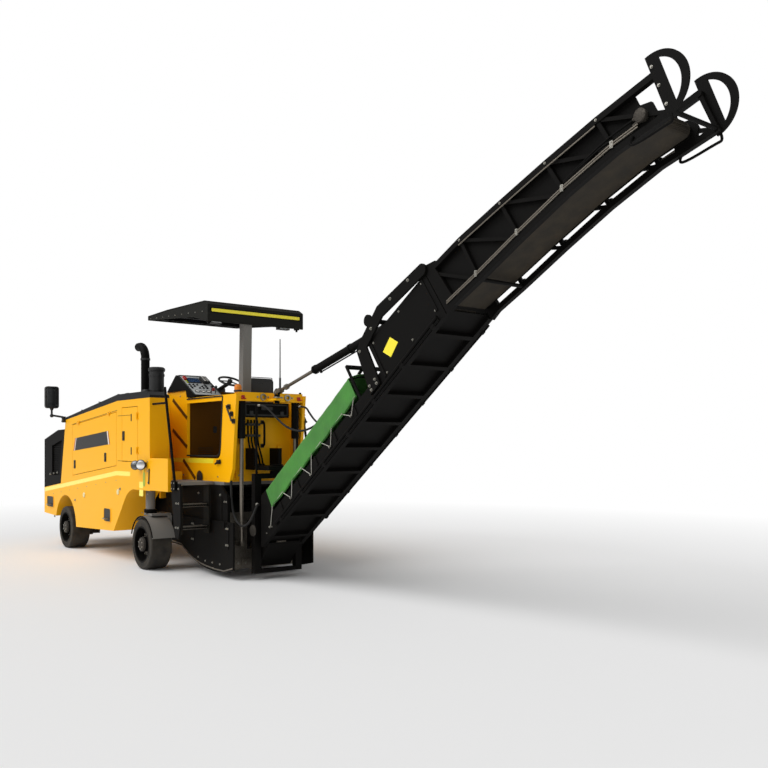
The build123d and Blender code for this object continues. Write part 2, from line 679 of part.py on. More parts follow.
nodes["canopy_roof"] = canopy_roof()
nodes["canopy_post"] = canopy_post() - nodes["canopy_roof"]


LADDER_X = (-1080, -940)
STILE = 20
TREAD_Z = (905, 630)
HANDRAIL_Y = BODY_HALF_WIDTH - 45


def ladder():
    """Left ladder, hung from the landing, with two treads."""
    inner_y = SIDE_PLATE_Y[1] + 24
    z = (540, FLOOR_Z[0])
    stiles = [block(LADDER_X, (y, y + STILE), z) for y in (inner_y, LANDING_OUTER_Y - STILE)]
    tread_y = (inner_y + STILE, LANDING_OUTER_Y - STILE)
    treads = [block(LADDER_X, tread_y, (top - 25, top)) for top in TREAD_Z]
    return fuse(stiles, treads)


def handrail():
    """Left handrail, leaning from the landing's edge up to the hood."""
    y = HANDRAIL_Y
    low, high, link_z = (-935, y, FLOOR_TOP_Z), (-640, y, CABINET_TOP_Z), 2170
    reach = (link_z - low[2]) / (high[2] - low[2])
    link_x = low[0] + reach * (high[0] - low[0])
    rail = bar(low, high, 17)
    link = bar((link_x, y, link_z), (POD_REAR_X, y, link_z), 14)
    foot = block((-975, -900), (LANDING_OUTER_Y, y + 20), (1080, 1190))
    return fuse(rail, link, foot)


nodes["ladders"] = Compound(both_sides(ladder()))
nodes["handrails"] = Compound(both_sides(handrail()))

# ---- milling drum, housing, side plates and scraper ---------------------------------------
HOUSING_TOP_Z = FLOOR_TOP_Z - FLOOR_THICKNESS
HOUSING_FRONT_X = 370
JOURNAL_RADIUS = 80


def drum_housing():
    """Open-bottomed box around the drum, with guides for the side plates."""
    outline = [
        (HOUSING_FRONT_X, 420),
        (HOUSING_FRONT_X, HOUSING_TOP_Z),
        (-1255, HOUSING_TOP_Z),
        (-1440, 1000),
        (-1440, 330),
        (-900, 330),
        (200, 330),
    ]
    cheeks = both_sides(side_plate(outline, CHEEK_INNER_Y, CHEEK_OUTER_Y))
    inner = (-CHEEK_INNER_Y, CHEEK_INNER_Y)
    front = block((HOUSING_FRONT_X - 30, HOUSING_FRONT_X), inner, (420, HOUSING_TOP_Z))
    top = block((-1255, HOUSING_FRONT_X - 30), inner, (HOUSING_TOP_Z - 30, HOUSING_TOP_Z))
    brace = block((HOUSING_FRONT_X, BULKHEAD_X), (-RAIL_Y[1], RAIL_Y[1]), CROSS_Z)
    journal_y = (DRUM_HALF_WIDTH - 60, CHEEK_INNER_Y)
    journal = both_sides(disc_y(DRUM_X, DRUM_Z, JOURNAL_RADIUS - RUNNING_CLEARANCE, *journal_y))
    runners = []
    for x in (-1300, 100):
        runner_y = (CHEEK_OUTER_Y, SIDE_PLATE_Y[0] - SEAT)
        runners += both_sides(block((x, x + 60), runner_y, (400, 1000)))
    return fuse(cheeks, front, top, brace, journal, runners)


def milling_drum():
    """Drum tube with a scroll of tool-holder rings and a journal pocket in each end."""
    y = (-DRUM_HALF_WIDTH, DRUM_HALF_WIDTH)
    drum = disc_y(DRUM_X, DRUM_Z, DRUM_CORE_RADIUS, *y)
    drum -= disc_y(DRUM_X, DRUM_Z, DRUM_CORE_RADIUS - 40, y[0], y[0] + 40)
    drum -= disc_y(DRUM_X, DRUM_Z, DRUM_CORE_RADIUS - 40, y[1] - 40, y[1])
    pocket = disc_y(DRUM_X, DRUM_Z, JOURNAL_RADIUS, DRUM_HALF_WIDTH - 70, DRUM_HALF_WIDTH)
    drum -= fuse(both_sides(pocket))
    return drum


TOOL_TURN_PER_ROW = 32
TOOL_ROWS = 14


def cutting_tools():
    """Tool holders set on two scrolls that meet at the drum's middle."""
    tools = []
    pitch = (DRUM_HALF_WIDTH - 40) / TOOL_ROWS
    for row in range(TOOL_ROWS):
        y = 20 + row * pitch
        for start in (0, 180):
            angle = start + row * TOOL_TURN_PER_ROW
            holder = Box(80, 30, 64)
            pick = Pos(-8, 0, 30) * Rot(0, -30, 0) * Cone(
                16, 4, 46, align=(Align.CENTER, Align.CENTER, Align.MIN)
            )
            place = Pos(DRUM_X, y, DRUM_Z) * Rot(0, angle, 0) * Pos(0, 0, DRUM_CORE_RADIUS + 10)
            tool = place * (holder + pick)
            tools += both_sides(tool)
    return tools


def edge_plate():
    """Left edge plate that rides on the road beside the cut."""
    edge = [
        Polyline((330, 330), (330, 700), (-1640, 700), (-1640, 130), (-1400, 80)),
        ThreePointArc((-1400, 80), (-800, 100), (-210, 300)),
        Line((-210, 300), (330, 330)),
    ]
    return side_face(make_face(edge), *SIDE_PLATE_Y)


def scraper():
    """Blade behind the drum with the window that feeds the conveyor, and its two rods."""
    blade = block(SCRAPER_X, (10 - CHEEK_INNER_Y, CHEEK_INNER_Y - 10), SCRAPER_Z)
    blade -= block((-1400, -1200), (-220, 220), (330, 700))
    lugs = both_sides(block((LIFT_X - 30, SCRAPER_X[0]), (LIFT_Y - 25, LIFT_Y + 25), (400, 450)))
    rods = both_sides(bar((LIFT_X, LIFT_Y, 450), (LIFT_X, LIFT_Y, 1850), LIFT_ROD_RADIUS))
    return fuse(blade, lugs, rods)


nodes["drum_housing"] = drum_housing()
nodes["milling_drum"] = fuse(milling_drum(), cutting_tools())
nodes["left_edge_plate"], nodes["right_edge_plate"] = both_sides(edge_plate())
nodes["scraper"] = scraper()

# ---- conveyor slewing frame ---------------------------------------------------------------
PORTAL_X = (SLEW_X - 40, SLEW_X + 40)
PORTAL_Y = (CONVEYOR_HALF_WIDTH - 55, CONVEYOR_HALF_WIDTH + 35)
PORTAL_Z = (80, 1290)
TAIL_HALF_WIDTH = PORTAL_Y[0] - 15
RAISE_PIN_RADIUS = 35
MAST_Y = PORTAL_Y[1] - 45
MAST_TOP_Z = 2120
MAST_RADIUS = 14
GLAND_RADIUS = 18
GLAND_LENGTH = 45


def hose_mast():
    """Left mast on the portal, with the gland that one conveyor hose leaves rearward."""
    post = bar((SLEW_X, MAST_Y, PORTAL_Z[1] - 5), (SLEW_X, MAST_Y, MAST_TOP_Z), MAST_RADIUS)
    gland = bar((SLEW_X - GLAND_LENGTH, MAST_Y, MAST_TOP_Z), (SLEW_X, MAST_Y, MAST_TOP_Z), GLAND_RADIUS)
    return post + gland


def slew_frame():
    """Portal around the conveyor's tail, turning on the bracket's vertical pin."""
    uprights = both_sides(block(PORTAL_X, PORTAL_Y, PORTAL_Z))
    head = block(PORTAL_X, (-PORTAL_Y[0], PORTAL_Y[0]), (1230, PORTAL_Z[1]))
    foot = block(PORTAL_X, (-PORTAL_Y[0], PORTAL_Y[0]), (PORTAL_Z[0], 125))
    pin = bar((SLEW_X, 0, PORTAL_Z[1]), (SLEW_X, 0, 1400), 50)
    collar = bar((SLEW_X, 0, PORTAL_Z[1]), (SLEW_X, 0, 1322), 90)
    cap = bar((SLEW_X, 0, 1386), (SLEW_X, 0, 1400), 75)
    holes = both_sides(disc_y(SLEW_X, RAISE_Z, RAISE_PIN_RADIUS + RUNNING_CLEARANCE, *PORTAL_Y))
    return fuse(uprights, head, foot, pin, collar, cap, both_sides(hose_mast())) - fuse(holes)


nodes["slew_frame"] = slew_frame()

# ---- lower conveyor -----------------------------------------------------------------------
WIDE_FROM_X = -1830
LOWER_END_S = FOLD_S - FOLD_GAP / 2
FOLD_PLATE_S = 3340
SIDE_SHEET = 15
RAIL_DEPTH = 80
LOWER_BELT_S = (370, LOWER_END_S - 110)
LOWER_BELT_H = 135
ROLLER_RADIUS = 33
ARM = 22
ARM_GAP = 6
FOLD_PIN_RADIUS = 25


HOSE_BAR_S = (2900, 2930)
HOSE_BAR_H = (595, 630)
HOSE_GLAND_S = 2830
HOSE_GLAND_H = 612
HOSE_GLAND_Y = 80


def hose_hoop():
    """Hoop over the belt behind the cover, with the glands that end the conveyor hoses."""
    wide = CONVEYOR_HALF_WIDTH
    posts = both_sides(slope_block(HOSE_BAR_S, (190, HOSE_BAR_H[1]), (wide - SIDE_SHEET, wide)))
    top = slope_block(HOSE_BAR_S, HOSE_BAR_H, (-wide, wide))
    glands = []
    for y in (-HOSE_GLAND_Y, HOSE_GLAND_Y):
        ends = [on_slope(s, HOSE_GLAND_H) for s in (HOSE_GLAND_S, HOSE_BAR_S[0] + 5)]
        glands.append(bar(*[(x, y, z) for x, z in ends], GLAND_RADIUS))
    return [*posts, top, *glands]


def lower_line(x, h):
    """Z of the line h above the underside at x."""
    return CONVEYOR_FOOT[1] + (CONVEYOR_FOOT[0] - x) * math.tan(SLOPE) + h / math.cos(SLOPE)


def lower_conveyor_frame():
    """Side rails, side sheets, bottom pan, ribs, tail boot, and the folding bracket."""
    wide = CONVEYOR_HALF_WIDTH
    rail = side_plate(
        [
            (WIDE_FROM_X, lower_line(WIDE_FROM_X, 0)),
            (WIDE_FROM_X, lower_line(WIDE_FROM_X, RAIL_DEPTH)),
            on_slope(LOWER_END_S, RAIL_DEPTH),
            on_slope(LOWER_END_S, 0),
        ],
        wide - 60,
        wide,
    )
    tail_sheet = side_plate(
        [
            (WIDE_FROM_X, lower_line(WIDE_FROM_X, RAIL_DEPTH)),
            (WIDE_FROM_X, lower_line(WIDE_FROM_X, CONVEYOR_DEPTH)),
            on_slope(800, CONVEYOR_DEPTH),
            on_slope(800, RAIL_DEPTH),
        ],
        wide - SIDE_SHEET,
        wide,
    )
    mid_sheet = slope_block((800, FOLD_PLATE_S), (RAIL_DEPTH, 200), (wide - SIDE_SHEET, wide))
    fold_sheet = side_plate(
        [
            on_slope(FOLD_PLATE_S, RAIL_DEPTH),
            on_slope(FOLD_PLATE_S, 560),
            on_slope(LOWER_END_S - 60, CONVEYOR_DEPTH),
            on_slope(LOWER_END_S, CONVEYOR_DEPTH),
            on_slope(LOWER_END_S, RAIL_DEPTH),
        ],
        wide - SIDE_SHEET,
        wide,
    )
    boot_outline = [
        (WIDE_FROM_X - 40, lower_line(WIDE_FROM_X - 40, 0)),
        (-1640, 150),
        (-1560, 150),
        (-1560, 760),
        (-1620, 860),
        (WIDE_FROM_X - 40, lower_line(WIDE_FROM_X - 40, CONVEYOR_DEPTH)),
    ]
    boot = side_plate(boot_outline, TAIL_HALF_WIDTH - SIDE_SHEET, TAIL_HALF_WIDTH)
    step = side_plate(
        [
            (WIDE_FROM_X, lower_line(WIDE_FROM_X, 0)),
            (WIDE_FROM_X, lower_line(WIDE_FROM_X, CONVEYOR_DEPTH)),
            (WIDE_FROM_X - 40, lower_line(WIDE_FROM_X - 40, CONVEYOR_DEPTH)),
            (WIDE_FROM_X - 40, lower_line(WIDE_FROM_X - 40, 0)),
        ],
        TAIL_HALF_WIDTH,
        wide - SIDE_SHEET,
    )
    pins = disc_y(SLEW_X, RAISE_Z, RAISE_PIN_RADIUS, TAIL_HALF_WIDTH, PORTAL_Y[1])
    spacer = disc_y(SLEW_X, RAISE_Z, 70, TAIL_HALF_WIDTH, PORTAL_Y[0] - 5)
    pan = slope_block((330, LOWER_END_S), (45, 55), (60 - wide, wide - 60))
    boot_floor = side_plate(
        [
            (WIDE_FROM_X - 40, lower_line(WIDE_FROM_X - 40, 0)),
            (-1640, 150),
            (-1560, 150),
            (-1560, 165),
            (-1636, 165),
            (WIDE_FROM_X - 40, lower_line(WIDE_FROM_X - 40, 0) + 20),
        ],
        SIDE_SHEET - TAIL_HALF_WIDTH,
        TAIL_HALF_WIDTH - SIDE_SHEET,
    )
    ribs = []
    for number in range(9):
        s = 480 + number * 450
        ribs.append(slope_block((s, s + 50), (0, 45), (60 - wide, wide - 60)))
    rollers = []
    roller_ends = (TAIL_HALF_WIDTH - SIDE_SHEET, wide - SIDE_SHEET)
    for s, y in zip(LOWER_BELT_S, roller_ends):
        rollers.append(disc_y(*on_slope(s, LOWER_BELT_H), ROLLER_RADIUS - SEAT, -y, y))
    bracket = [
        on_slope(3100, 90),
        on_slope(3180, 600),
        on_slope(3272, 640),
        on_slope(3700, 735),
        on_slope(FOLD_S, FOLD_H + 60),
        on_slope(FOLD_S, FOLD_H - 60),
        on_slope(3700, 600),
        on_slope(3330, 520),
        on_slope(3290, 90),
    ]
    arm = side_plate(bracket, wide + ARM_GAP, wide + ARM_GAP + ARM)
    arm += disc_y(*on_slope(FOLD_S, FOLD_H), 60, wide + ARM_GAP, wide + ARM_GAP + ARM)
    arm += disc_y(*STAY_HEAD, 60, wide + ARM_GAP, wide + ARM_GAP + ARM)
    arm += slope_block((3110, 3280), (95, 195), (wide, wide + ARM_GAP))
    arm -= disc_y(*on_slope(FOLD_S, FOLD_H), FOLD_PIN_RADIUS + RUNNING_CLEARANCE, wide - 50, wide + 50)
    stay_pin = disc_y(*STAY_HEAD, 24, -wide - ARM_GAP, wide + ARM_GAP)
    arms = both_sides(arm)
    return fuse(
        both_sides(rail),
        both_sides(tail_sheet),
        both_sides(mid_sheet),
        both_sides(fold_sheet),
        both_sides(boot),
        both_sides(step),
        both_sides(pins),
        both_sides(spacer),
        pan,
        boot_floor,
        ribs,
        rollers,
        arms,
        stay_pin,
        hose_hoop(),
    )


nodes["lower_conveyor_frame"] = lower_conveyor_frame()

COVER_S = (800, 2880)
COVER_H = (205, 490)
COVER_RISE = 80
COVER_SHEET = 8


def belt_cover():
    """Arched cover over the lower belt, resting on the side sheets."""
    half = CONVEYOR_HALF_WIDTH

    def arch(inset):
        low, high = COVER_H
        side = half - inset
        edge = [
            Polyline((-side, high), (-side, low), (side, low), (side, high)),
            ThreePointArc((side, high), (0, high + COVER_RISE - inset), (-side, high)),
        ]
        return make_face(edge)

    start = on_slope(COVER_S[0], 0)
    plane = Plane(
        origin=(start[0], 0, start[1]), x_dir=(0, -1, 0), z_dir=(-math.cos(SLOPE), 0, math.sin(SLOPE))
    )
    length = COVER_S[1] - COVER_S[0]
    outer = extrude(plane * arch(0), length)
    inner = extrude(plane * arch(COVER_SHEET), length)
    cut_s = (COVER_S[0] - 10, COVER_S[1] + 10)
    low_cut = slope_block(cut_s, (100, COVER_H[0] + 10), (20 - half, half - 20))
    return outer - inner - low_cut


nodes["belt_cover"] = belt_cover()


def lower_belt():
    """Closed band around the tail and fold rollers."""
    solids = []
    for radius, y in ((ROLLER_RADIUS + BELT, BELT_HALF_WIDTH), (ROLLER_RADIUS, BELT_HALF_WIDTH + 5)):
        h = (LOWER_BELT_H - radius, LOWER_BELT_H + radius)
        solid = slope_block(LOWER_BELT_S, h, (-y, y))
        for s in LOWER_BELT_S:
            solid += disc_y(*on_slope(s, LOWER_BELT_H), radius, -y, y)
        solids.append(solid)
    return solids[0] - solids[1]


nodes["lower_belt"] = lower_belt()

# ---- upper conveyor -----------------------------------------------------------------------
UPPER_START_S = FOLD_S + FOLD_GAP / 2
# bottom chord (X, Z) and top chord (X, Z) at each truss station, from the fold to the head
STATIONS = [
    (on_slope(UPPER_START_S + 30, 25), on_slope(UPPER_START_S + 30, CONVEYOR_DEPTH - 25)),
    ((-5560, 3075), (-5320, 3455)),
    ((-6040, 3340), (-5820, 3672)),
    ((-6520, 3590), (-6320, 3880)),
    ((-6990, 3800), (-6820, 4075)),
    ((-7470, 3950), (-7330, 4250)),
]
CHORD = 50


TROUGH_SHEET = 12
TROUGH_FLOOR_SHARE = 0.42
TROUGH_FLOOR_START = 0.18
TROUGH_FLOOR_END = 0.35
TROUGH_SIDE_SHARE = 0.16
TROUGH_SIDE_END = 0.6


def between(low, high, share):
    """(X, Z) a share of the way from one point to another."""
    return (low[0] + share * (high[0] - low[0]), low[1] + share * (high[1] - low[1]))


def trough():
    """Sheet floor between the belt's two runs, and side sheets inside the trusses."""
    floor_line = [between(low, high, TROUGH_FLOOR_SHARE) for low, high in STATIONS]
    # the floor starts past the belt's turn at the fold
    floor_line[0] = between(floor_line[0], floor_line[1], TROUGH_FLOOR_START)
    # and stops short of the head roller
    floor_line[-1] = between(floor_line[-2], floor_line[-1], TROUGH_FLOOR_END)
    floor_under = [(x, z - TROUGH_SHEET) for x, z in floor_line]
    side_foot = [between(low, high, TROUGH_SIDE_SHARE) for low, high in STATIONS]
    side_top = [high for low, high in STATIONS]
    # the side sheets stop beside the head roller
    side_foot[-1] = between(side_foot[-2], side_foot[-1], TROUGH_SIDE_END)
    side_top[-1] = between(side_top[-2], side_top[-1], TROUGH_SIDE_END)
    outer = CONVEYOR_HALF_WIDTH - CHORD
    inner = outer - TROUGH_SHEET
    sides = both_sides(side_plate([*side_foot, *side_top[::-1]], inner, outer))
    return [side_plate([*floor_under, *floor_line[::-1]], -inner, inner), *sides]


def truss_side():
    """Left truss: two chords, posts and diagonals."""
    y = CONVEYOR_HALF_WIDTH - CHORD / 2
    members = []
    for (low_a, high_a), (low_b, high_b) in zip(STATIONS, STATIONS[1:]):
        members.append(beam((low_a[0], y, low_a[1]), (low_b[0], y, low_b[1]), CHORD, CHORD))
        members.append(beam((high_a[0], y, high_a[1]), (high_b[0], y, high_b[1]), CHORD, CHORD))
        members.append(beam((low_b[0], y, low_b[1]), (high_b[0], y, high_b[1]), 34, 34))
        members.append(beam((high_a[0], y, high_a[1]), (low_b[0], y, low_b[1]), 30, 30))
    for low, high in STATIONS[1:]:
        members.append(disc_y(low[0], low[1], CHORD / 2, y - CHORD / 2, y + CHORD / 2))
        members.append(disc_y(high[0], high[1], CHORD / 2, y - CHORD / 2, y + CHORD / 2))
    return members


def upper_conveyor_frame():
    """Two trusses joined by cross tubes, with the folding ears at the lower end."""
    start_low, start_high = STATIONS[0]
    ear = side_plate(
        [
            on_slope(UPPER_START_S, -20),
            on_slope(UPPER_START_S, 525),
            on_slope(UPPER_START_S + 120, 500),
            on_slope(UPPER_START_S + 150, -10),
        ],
        CONVEYOR_HALF_WIDTH - CHORD,
        CONVEYOR_HALF_WIDTH,
    )
    eye_y = (CONVEYOR_HALF_WIDTH - 22, CONVEYOR_HALF_WIDTH - 3)
    hinge_eye = side_plate(
        [
            on_slope(FOLD_S, FOLD_H - 32),
            on_slope(FOLD_S + 11, FOLD_H - 32),
            on_slope(FOLD_S + 11, 440),
            on_slope(FOLD_S + 165, 440),
            on_slope(FOLD_S + 165, 500),
            on_slope(FOLD_S + 20, FOLD_H + 32),
            on_slope(FOLD_S, FOLD_H + 32),
        ],
        *eye_y,
    )
    hinge_eye += disc_y(*on_slope(FOLD_S, FOLD_H), 32, *eye_y)
    pin = disc_y(*on_slope(FOLD_S, FOLD_H), FOLD_PIN_RADIUS, eye_y[0], CONVEYOR_HALF_WIDTH + ARM_GAP + ARM)
    crosses = []
    for low, high in (STATIONS[1], STATIONS[-1]):
        crosses.append(disc_y(low[0], low[1], 18, 40 - CONVEYOR_HALF_WIDTH, CONVEYOR_HALF_WIDTH - 40))
    return fuse(both_sides(fuse(truss_side(), ear, hinge_eye, pin)), crosses, trough())


HEAD_LEAN = math.radians(18)
HEAD_CENTRE = Vector(-7230, 3985)
HEAD_ROLLER_RADIUS = 50
UPPER_SLOPE = math.radians(27)
CARRY_SHARE = 0.62
RETURN_SHARE = 0.12


def upper_belt():
    """Closed band over the head roller: carrying run above, return run below."""
    along = Vector(-math.cos(HEAD_LEAN), math.sin(HEAD_LEAN))
    up = Vector(math.sin(HEAD_LEAN), math.cos(HEAD_LEAN))
    carry = [between(low, high, CARRY_SHARE) for low, high in STATIONS[:-1]]
    back = [between(low, high, RETURN_SHARE) for low, high in STATIONS[:-1]]
    solids = []
    for inset, y in ((0, BELT_HALF_WIDTH), (BELT, BELT_HALF_WIDTH + 5)):
        reach = HEAD_ROLLER_RADIUS + BELT - inset
        top, nose, low = HEAD_CENTRE + up * reach, HEAD_CENTRE + along * reach, HEAD_CENTRE - up * reach
        sink = Vector(inset * math.sin(UPPER_SLOPE), inset * math.cos(UPPER_SLOPE))
        run_up = [(x - sink.X, z - sink.Y) for x, z in carry]
        run_back = [(x + sink.X, z + sink.Y) for x, z in back]
        run_up[0] = (run_up[0][0] - inset, run_up[0][1] + inset * 0.6)
        run_back[0] = (run_back[0][0] - inset, run_back[0][1] + inset * 0.6)
        edge = [
            Polyline(*run_up, (top.X, top.Y)),
            ThreePointArc((top.X, top.Y), (nose.X, nose.Y), (low.X, low.Y)),
            Polyline((low.X, low.Y), *run_back[::-1], run_up[0]),
        ]
        solids.append(side_face(make_face(edge), -y, y))
    return solids[0] - solids[1]


GUARD_CENTRE = Vector(-7400, 4160)
GUARD_LEAN = math.radians(22)
GUARD_RADIUS = 252
GUARD_REACH = 215
GUARD_BAR = 92
GUARD_BAND = 62
GUARD_SHEET = 16


def head_guard():
    """Left D-shaped guard plate on the outside of the discharge end."""
    along = Vector(-math.cos(GUARD_LEAN), math.sin(GUARD_LEAN))
    up = Vector(math.sin(GUARD_LEAN), math.cos(GUARD_LEAN))

    def dee(radius, flat, reach):
        a = GUARD_CENTRE + along * flat + up * radius
        b = GUARD_CENTRE + along * flat - up * radius
        mid = GUARD_CENTRE + along * reach
        edge = [Line((b.X, b.Y), (a.X, a.Y)), ThreePointArc((a.X, a.Y), (mid.X, mid.Y), (b.X, b.Y))]
        return make_face(edge)

    outside = dee(GUARD_RADIUS, -GUARD_BAR / 2, GUARD_REACH)
    plate = outside - dee(GUARD_RADIUS - GUARD_BAND, GUARD_BAR / 2, GUARD_REACH - GUARD_BAND)
    return side_face(plate, CONVEYOR_HALF_WIDTH - SEAT, CONVEYOR_HALF_WIDTH + GUARD_SHEET)


head_reach = CONVEYOR_HALF_WIDTH - 30
head_roller = disc_y(*HEAD_CENTRE.to_tuple()[:2], HEAD_ROLLER_RADIUS - SEAT, -head_reach, head_reach)
head_bearing = side_plate(
    [(-7130, 3850), (-7310, 3905), (-7330, 4000), (-7290, 4075), (-7180, 4075), (-7120, 3990)],
    CONVEYOR_HALF_WIDTH - CHORD,
    CONVEYOR_HALF_WIDTH - 22,
)
nodes["upper_conveyor_frame"] = fuse(
    upper_conveyor_frame(), both_sides(head_guard()), both_sides(head_bearing), head_roller
)
nodes["upper_belt"] = upper_belt()

# ---- stay ---------------------------------------------------------------------------------
ANCHOR = Vector(SLEW_X, 0, STAY_ANCHOR_Z)
HEAD = Vector(STAY_HEAD[0], 0, STAY_HEAD[1])
STAY_RUN = HEAD - ANCHOR
STAY_LENGTH = STAY_RUN.length
STAY_UNIT = STAY_RUN.normalized()
BARREL_LENGTH = 1500
BARREL_RADIUS = 45
STAY_ROD_RADIUS = 20


def stay_point(distance):
    """A point on the stay's line, this far from its anchor."""
    return ANCHOR + STAY_UNIT * distance


def stay_swivel():
    """Tongue on the crossbeam's lug that turns with the conveyor."""
    pin = bar((SLEW_X, 0, STAY_LUG_Z[0] - 30), (SLEW_X, 0, STAY_LUG_Z[1] + 6), LUG_PIN_RADIUS)
    collar = bar((SLEW_X, 0, STAY_LUG_Z[1] + 6), (SLEW_X, 0, STAY_LUG_Z[1] + 22), 45)
    nut = bar((SLEW_X, 0, STAY_LUG_Z[0] - 30), (SLEW_X, 0, STAY_LUG_Z[0] - 6), 32)
    tongue = block((SLEW_X - 50, SLEW_X + 50), (-12, 12), (STAY_LUG_Z[1] + 22, STAY_ANCHOR_Z))
    tongue += disc_y(SLEW_X, STAY_ANCHOR_Z, 50, -12, 12)
    tongue -= disc_y(SLEW_X, STAY_ANCHOR_Z, 34, -20, 20)
    return fuse(pin, collar, nut, tongue)


def stay_barrel():
    start = stay_point(STAY_LENGTH - BARREL_LENGTH)
    tube = bar(tuple(start), tuple(stay_point(STAY_LENGTH - 75)), BARREL_RADIUS)
    tube -= bar(tuple(start), tuple(stay_point(STAY_LENGTH - 120)), STAY_ROD_RADIUS + RUNNING_CLEARANCE)
    eye = disc_y(*STAY_HEAD, 55, -30, 30)
    neck = bar(tuple(stay_point(STAY_LENGTH - 80)), tuple(stay_point(STAY_LENGTH - 20)), 28)
    return fuse(tube, neck, eye) - disc_y(*STAY_HEAD, 24 + RUNNING_CLEARANCE, -60, 60)


def stay_rod():
    """Rod with the fork that takes the swivel's tongue."""
    rod = bar(tuple(stay_point(110)), tuple(stay_point(STAY_LENGTH - BARREL_LENGTH + 420)), STAY_ROD_RADIUS)
    bridge = beam(tuple(stay_point(85)), tuple(stay_point(115)), 64, 50)
    ears = []
    for y in (-26, 26):
        start = stay_point(0) + Vector(0, y, 0)
        end = stay_point(90) + Vector(0, y, 0)
        ears.append(beam(tuple(start), tuple(end), 12, 50))
        ears.append(disc_y(SLEW_X, STAY_ANCHOR_Z, 28, y - 6, y + 6))
    pin = disc_y(SLEW_X, STAY_ANCHOR_Z, 12, -32, 32)
    return fuse(rod, bridge, ears, pin)


nodes["stay_swivel"] = stay_swivel()
nodes["stay_barrel"] = stay_barrel()
nodes["stay_rod"] = stay_rod()

# ---- hoses --------------------------------------------------------------------------------
CONVEYOR_HOSE_RADIUS = 12
HOSE_SAG = {"left": 0, "right": 75}


def hose(name, points, radius):
    """Round hose along straight runs joined by tangent arcs; prints its length and its arcs' radii."""
    stops = [Vector(*point) for point in points]
    runs = [end - start for start, end in zip(stops, stops[1:])]
    radii = []
    for before, after in zip(runs, runs[1:]):
        half_turn = math.radians(before.get_angle(after)) / 2
        radii.append(0.45 * min(before.length, after.length) / math.tan(half_turn))
    path = FilletPolyline(*stops, radius=radii)
    print(name, "length", round(path.length), "arc radii", [round(value) for value in radii])
    section = Plane(origin=stops[0], z_dir=runs[0]) * Circle(radius)
    return sweep(section, path)


def conveyor_hose(side, rise):
    """Hose from a mast's gland, sagging above the cover, to a gland on the hoop."""
    x, y = SLEW_X - GLAND_LENGTH, MAST_Y
    free = [
        (x, y, MAST_TOP_Z),
        (x - 155, y, MAST_TOP_Z),
        (x - 305, y - 40, MAST_TOP_Z - 130 + rise / 2),
        (x - 515, y - 85, MAST_TOP_Z - 280 + rise),
        (x - 755, y - 130, MAST_TOP_Z - 330 + rise),
        (x - 995, y - 165, MAST_TOP_Z - 270 + rise),
        (x - 1215, y - 185, MAST_TOP_Z - 135 + rise / 2),
        (x - 1455, HOSE_GLAND_Y + 12, MAST_TOP_Z + 30 + rise / 4),
    ]
    for s in (HOSE_GLAND_S - 190, HOSE_GLAND_S):
        end_x, end_z = on_slope(s, HOSE_GLAND_H)
        free.append((end_x, HOSE_GLAND_Y, end_z))
    return hose(side + " conveyor hose", free, CONVEYOR_HOSE_RADIUS)


nodes["left_hose"] = conveyor_hose("left", HOSE_SAG["left"])
nodes["right_hose"] = mirror(conveyor_hose("right", HOSE_SAG["right"]), Plane.XZ)

# ---- write one STEP per node, origin mid-length on the ground ------------------------------
REAR_X = nodes["upper_conveyor_frame"].bounding_box().min.X
SHIFT_X = -(FRONT_X + REAR_X) / 2

os.makedirs("parts", exist_ok=True)
print("shift along X", round(SHIFT_X, 3))
for name, shape in nodes.items():
    export_step(Pos(SHIFT_X, 0, 0) * shape, "parts/" + name + ".step")
print(len(nodes), "nodes")
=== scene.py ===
"""Looks of a wheeled cold planer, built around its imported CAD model."""

import math

import bmesh
import bpy
from mathutils import Matrix, Vector


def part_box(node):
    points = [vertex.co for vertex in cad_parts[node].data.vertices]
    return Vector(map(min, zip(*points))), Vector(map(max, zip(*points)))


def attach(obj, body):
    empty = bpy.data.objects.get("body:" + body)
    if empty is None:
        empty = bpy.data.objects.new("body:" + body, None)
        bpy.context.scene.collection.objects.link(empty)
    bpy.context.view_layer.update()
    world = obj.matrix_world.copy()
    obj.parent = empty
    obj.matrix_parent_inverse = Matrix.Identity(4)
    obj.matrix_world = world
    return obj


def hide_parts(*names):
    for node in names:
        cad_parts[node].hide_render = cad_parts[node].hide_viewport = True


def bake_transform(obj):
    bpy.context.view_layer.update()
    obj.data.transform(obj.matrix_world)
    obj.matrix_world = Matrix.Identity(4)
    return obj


bl_info = {
    "name": "Cold Planer Looks",
    "version": (1, 0, 0),
    "blender": (4, 5, 0),
    "location": "View3D > Sidebar > Cold Planer",
    "description": "Finishes, fittings and soft parts of a wheeled cold planer",
    "category": "Object",
}

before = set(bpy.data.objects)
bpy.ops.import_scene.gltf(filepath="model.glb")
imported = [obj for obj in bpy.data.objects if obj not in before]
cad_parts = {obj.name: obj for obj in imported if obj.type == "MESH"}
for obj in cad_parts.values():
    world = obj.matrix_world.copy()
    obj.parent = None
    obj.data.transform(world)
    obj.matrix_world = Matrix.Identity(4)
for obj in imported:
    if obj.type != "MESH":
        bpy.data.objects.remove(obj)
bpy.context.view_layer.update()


# ---- places -------------------------------------------------------------------------------
def middle(node):
    """Centre of a CAD node's box."""
    low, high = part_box(node)
    return (low + high) / 2


REAR_AXLE = middle("rear_left_tyre")
FRONT_AXLE = middle("front_left_tyre")
BODY_LOW, BODY_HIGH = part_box("lower_body")
FLANK = BODY_HIGH.y
TYRE_RADIUS = REAR_AXLE.z
STATION_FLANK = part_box("station_side_walls")[1].y
SLOPE = math.radians(36.1)
CONVEYOR_FLANK = 0.3


def at(x, y, z):
    """A point given in metres from the rear axle's line, the centre plane and the ground."""
    return Vector((REAR_AXLE.x + x, y, z))


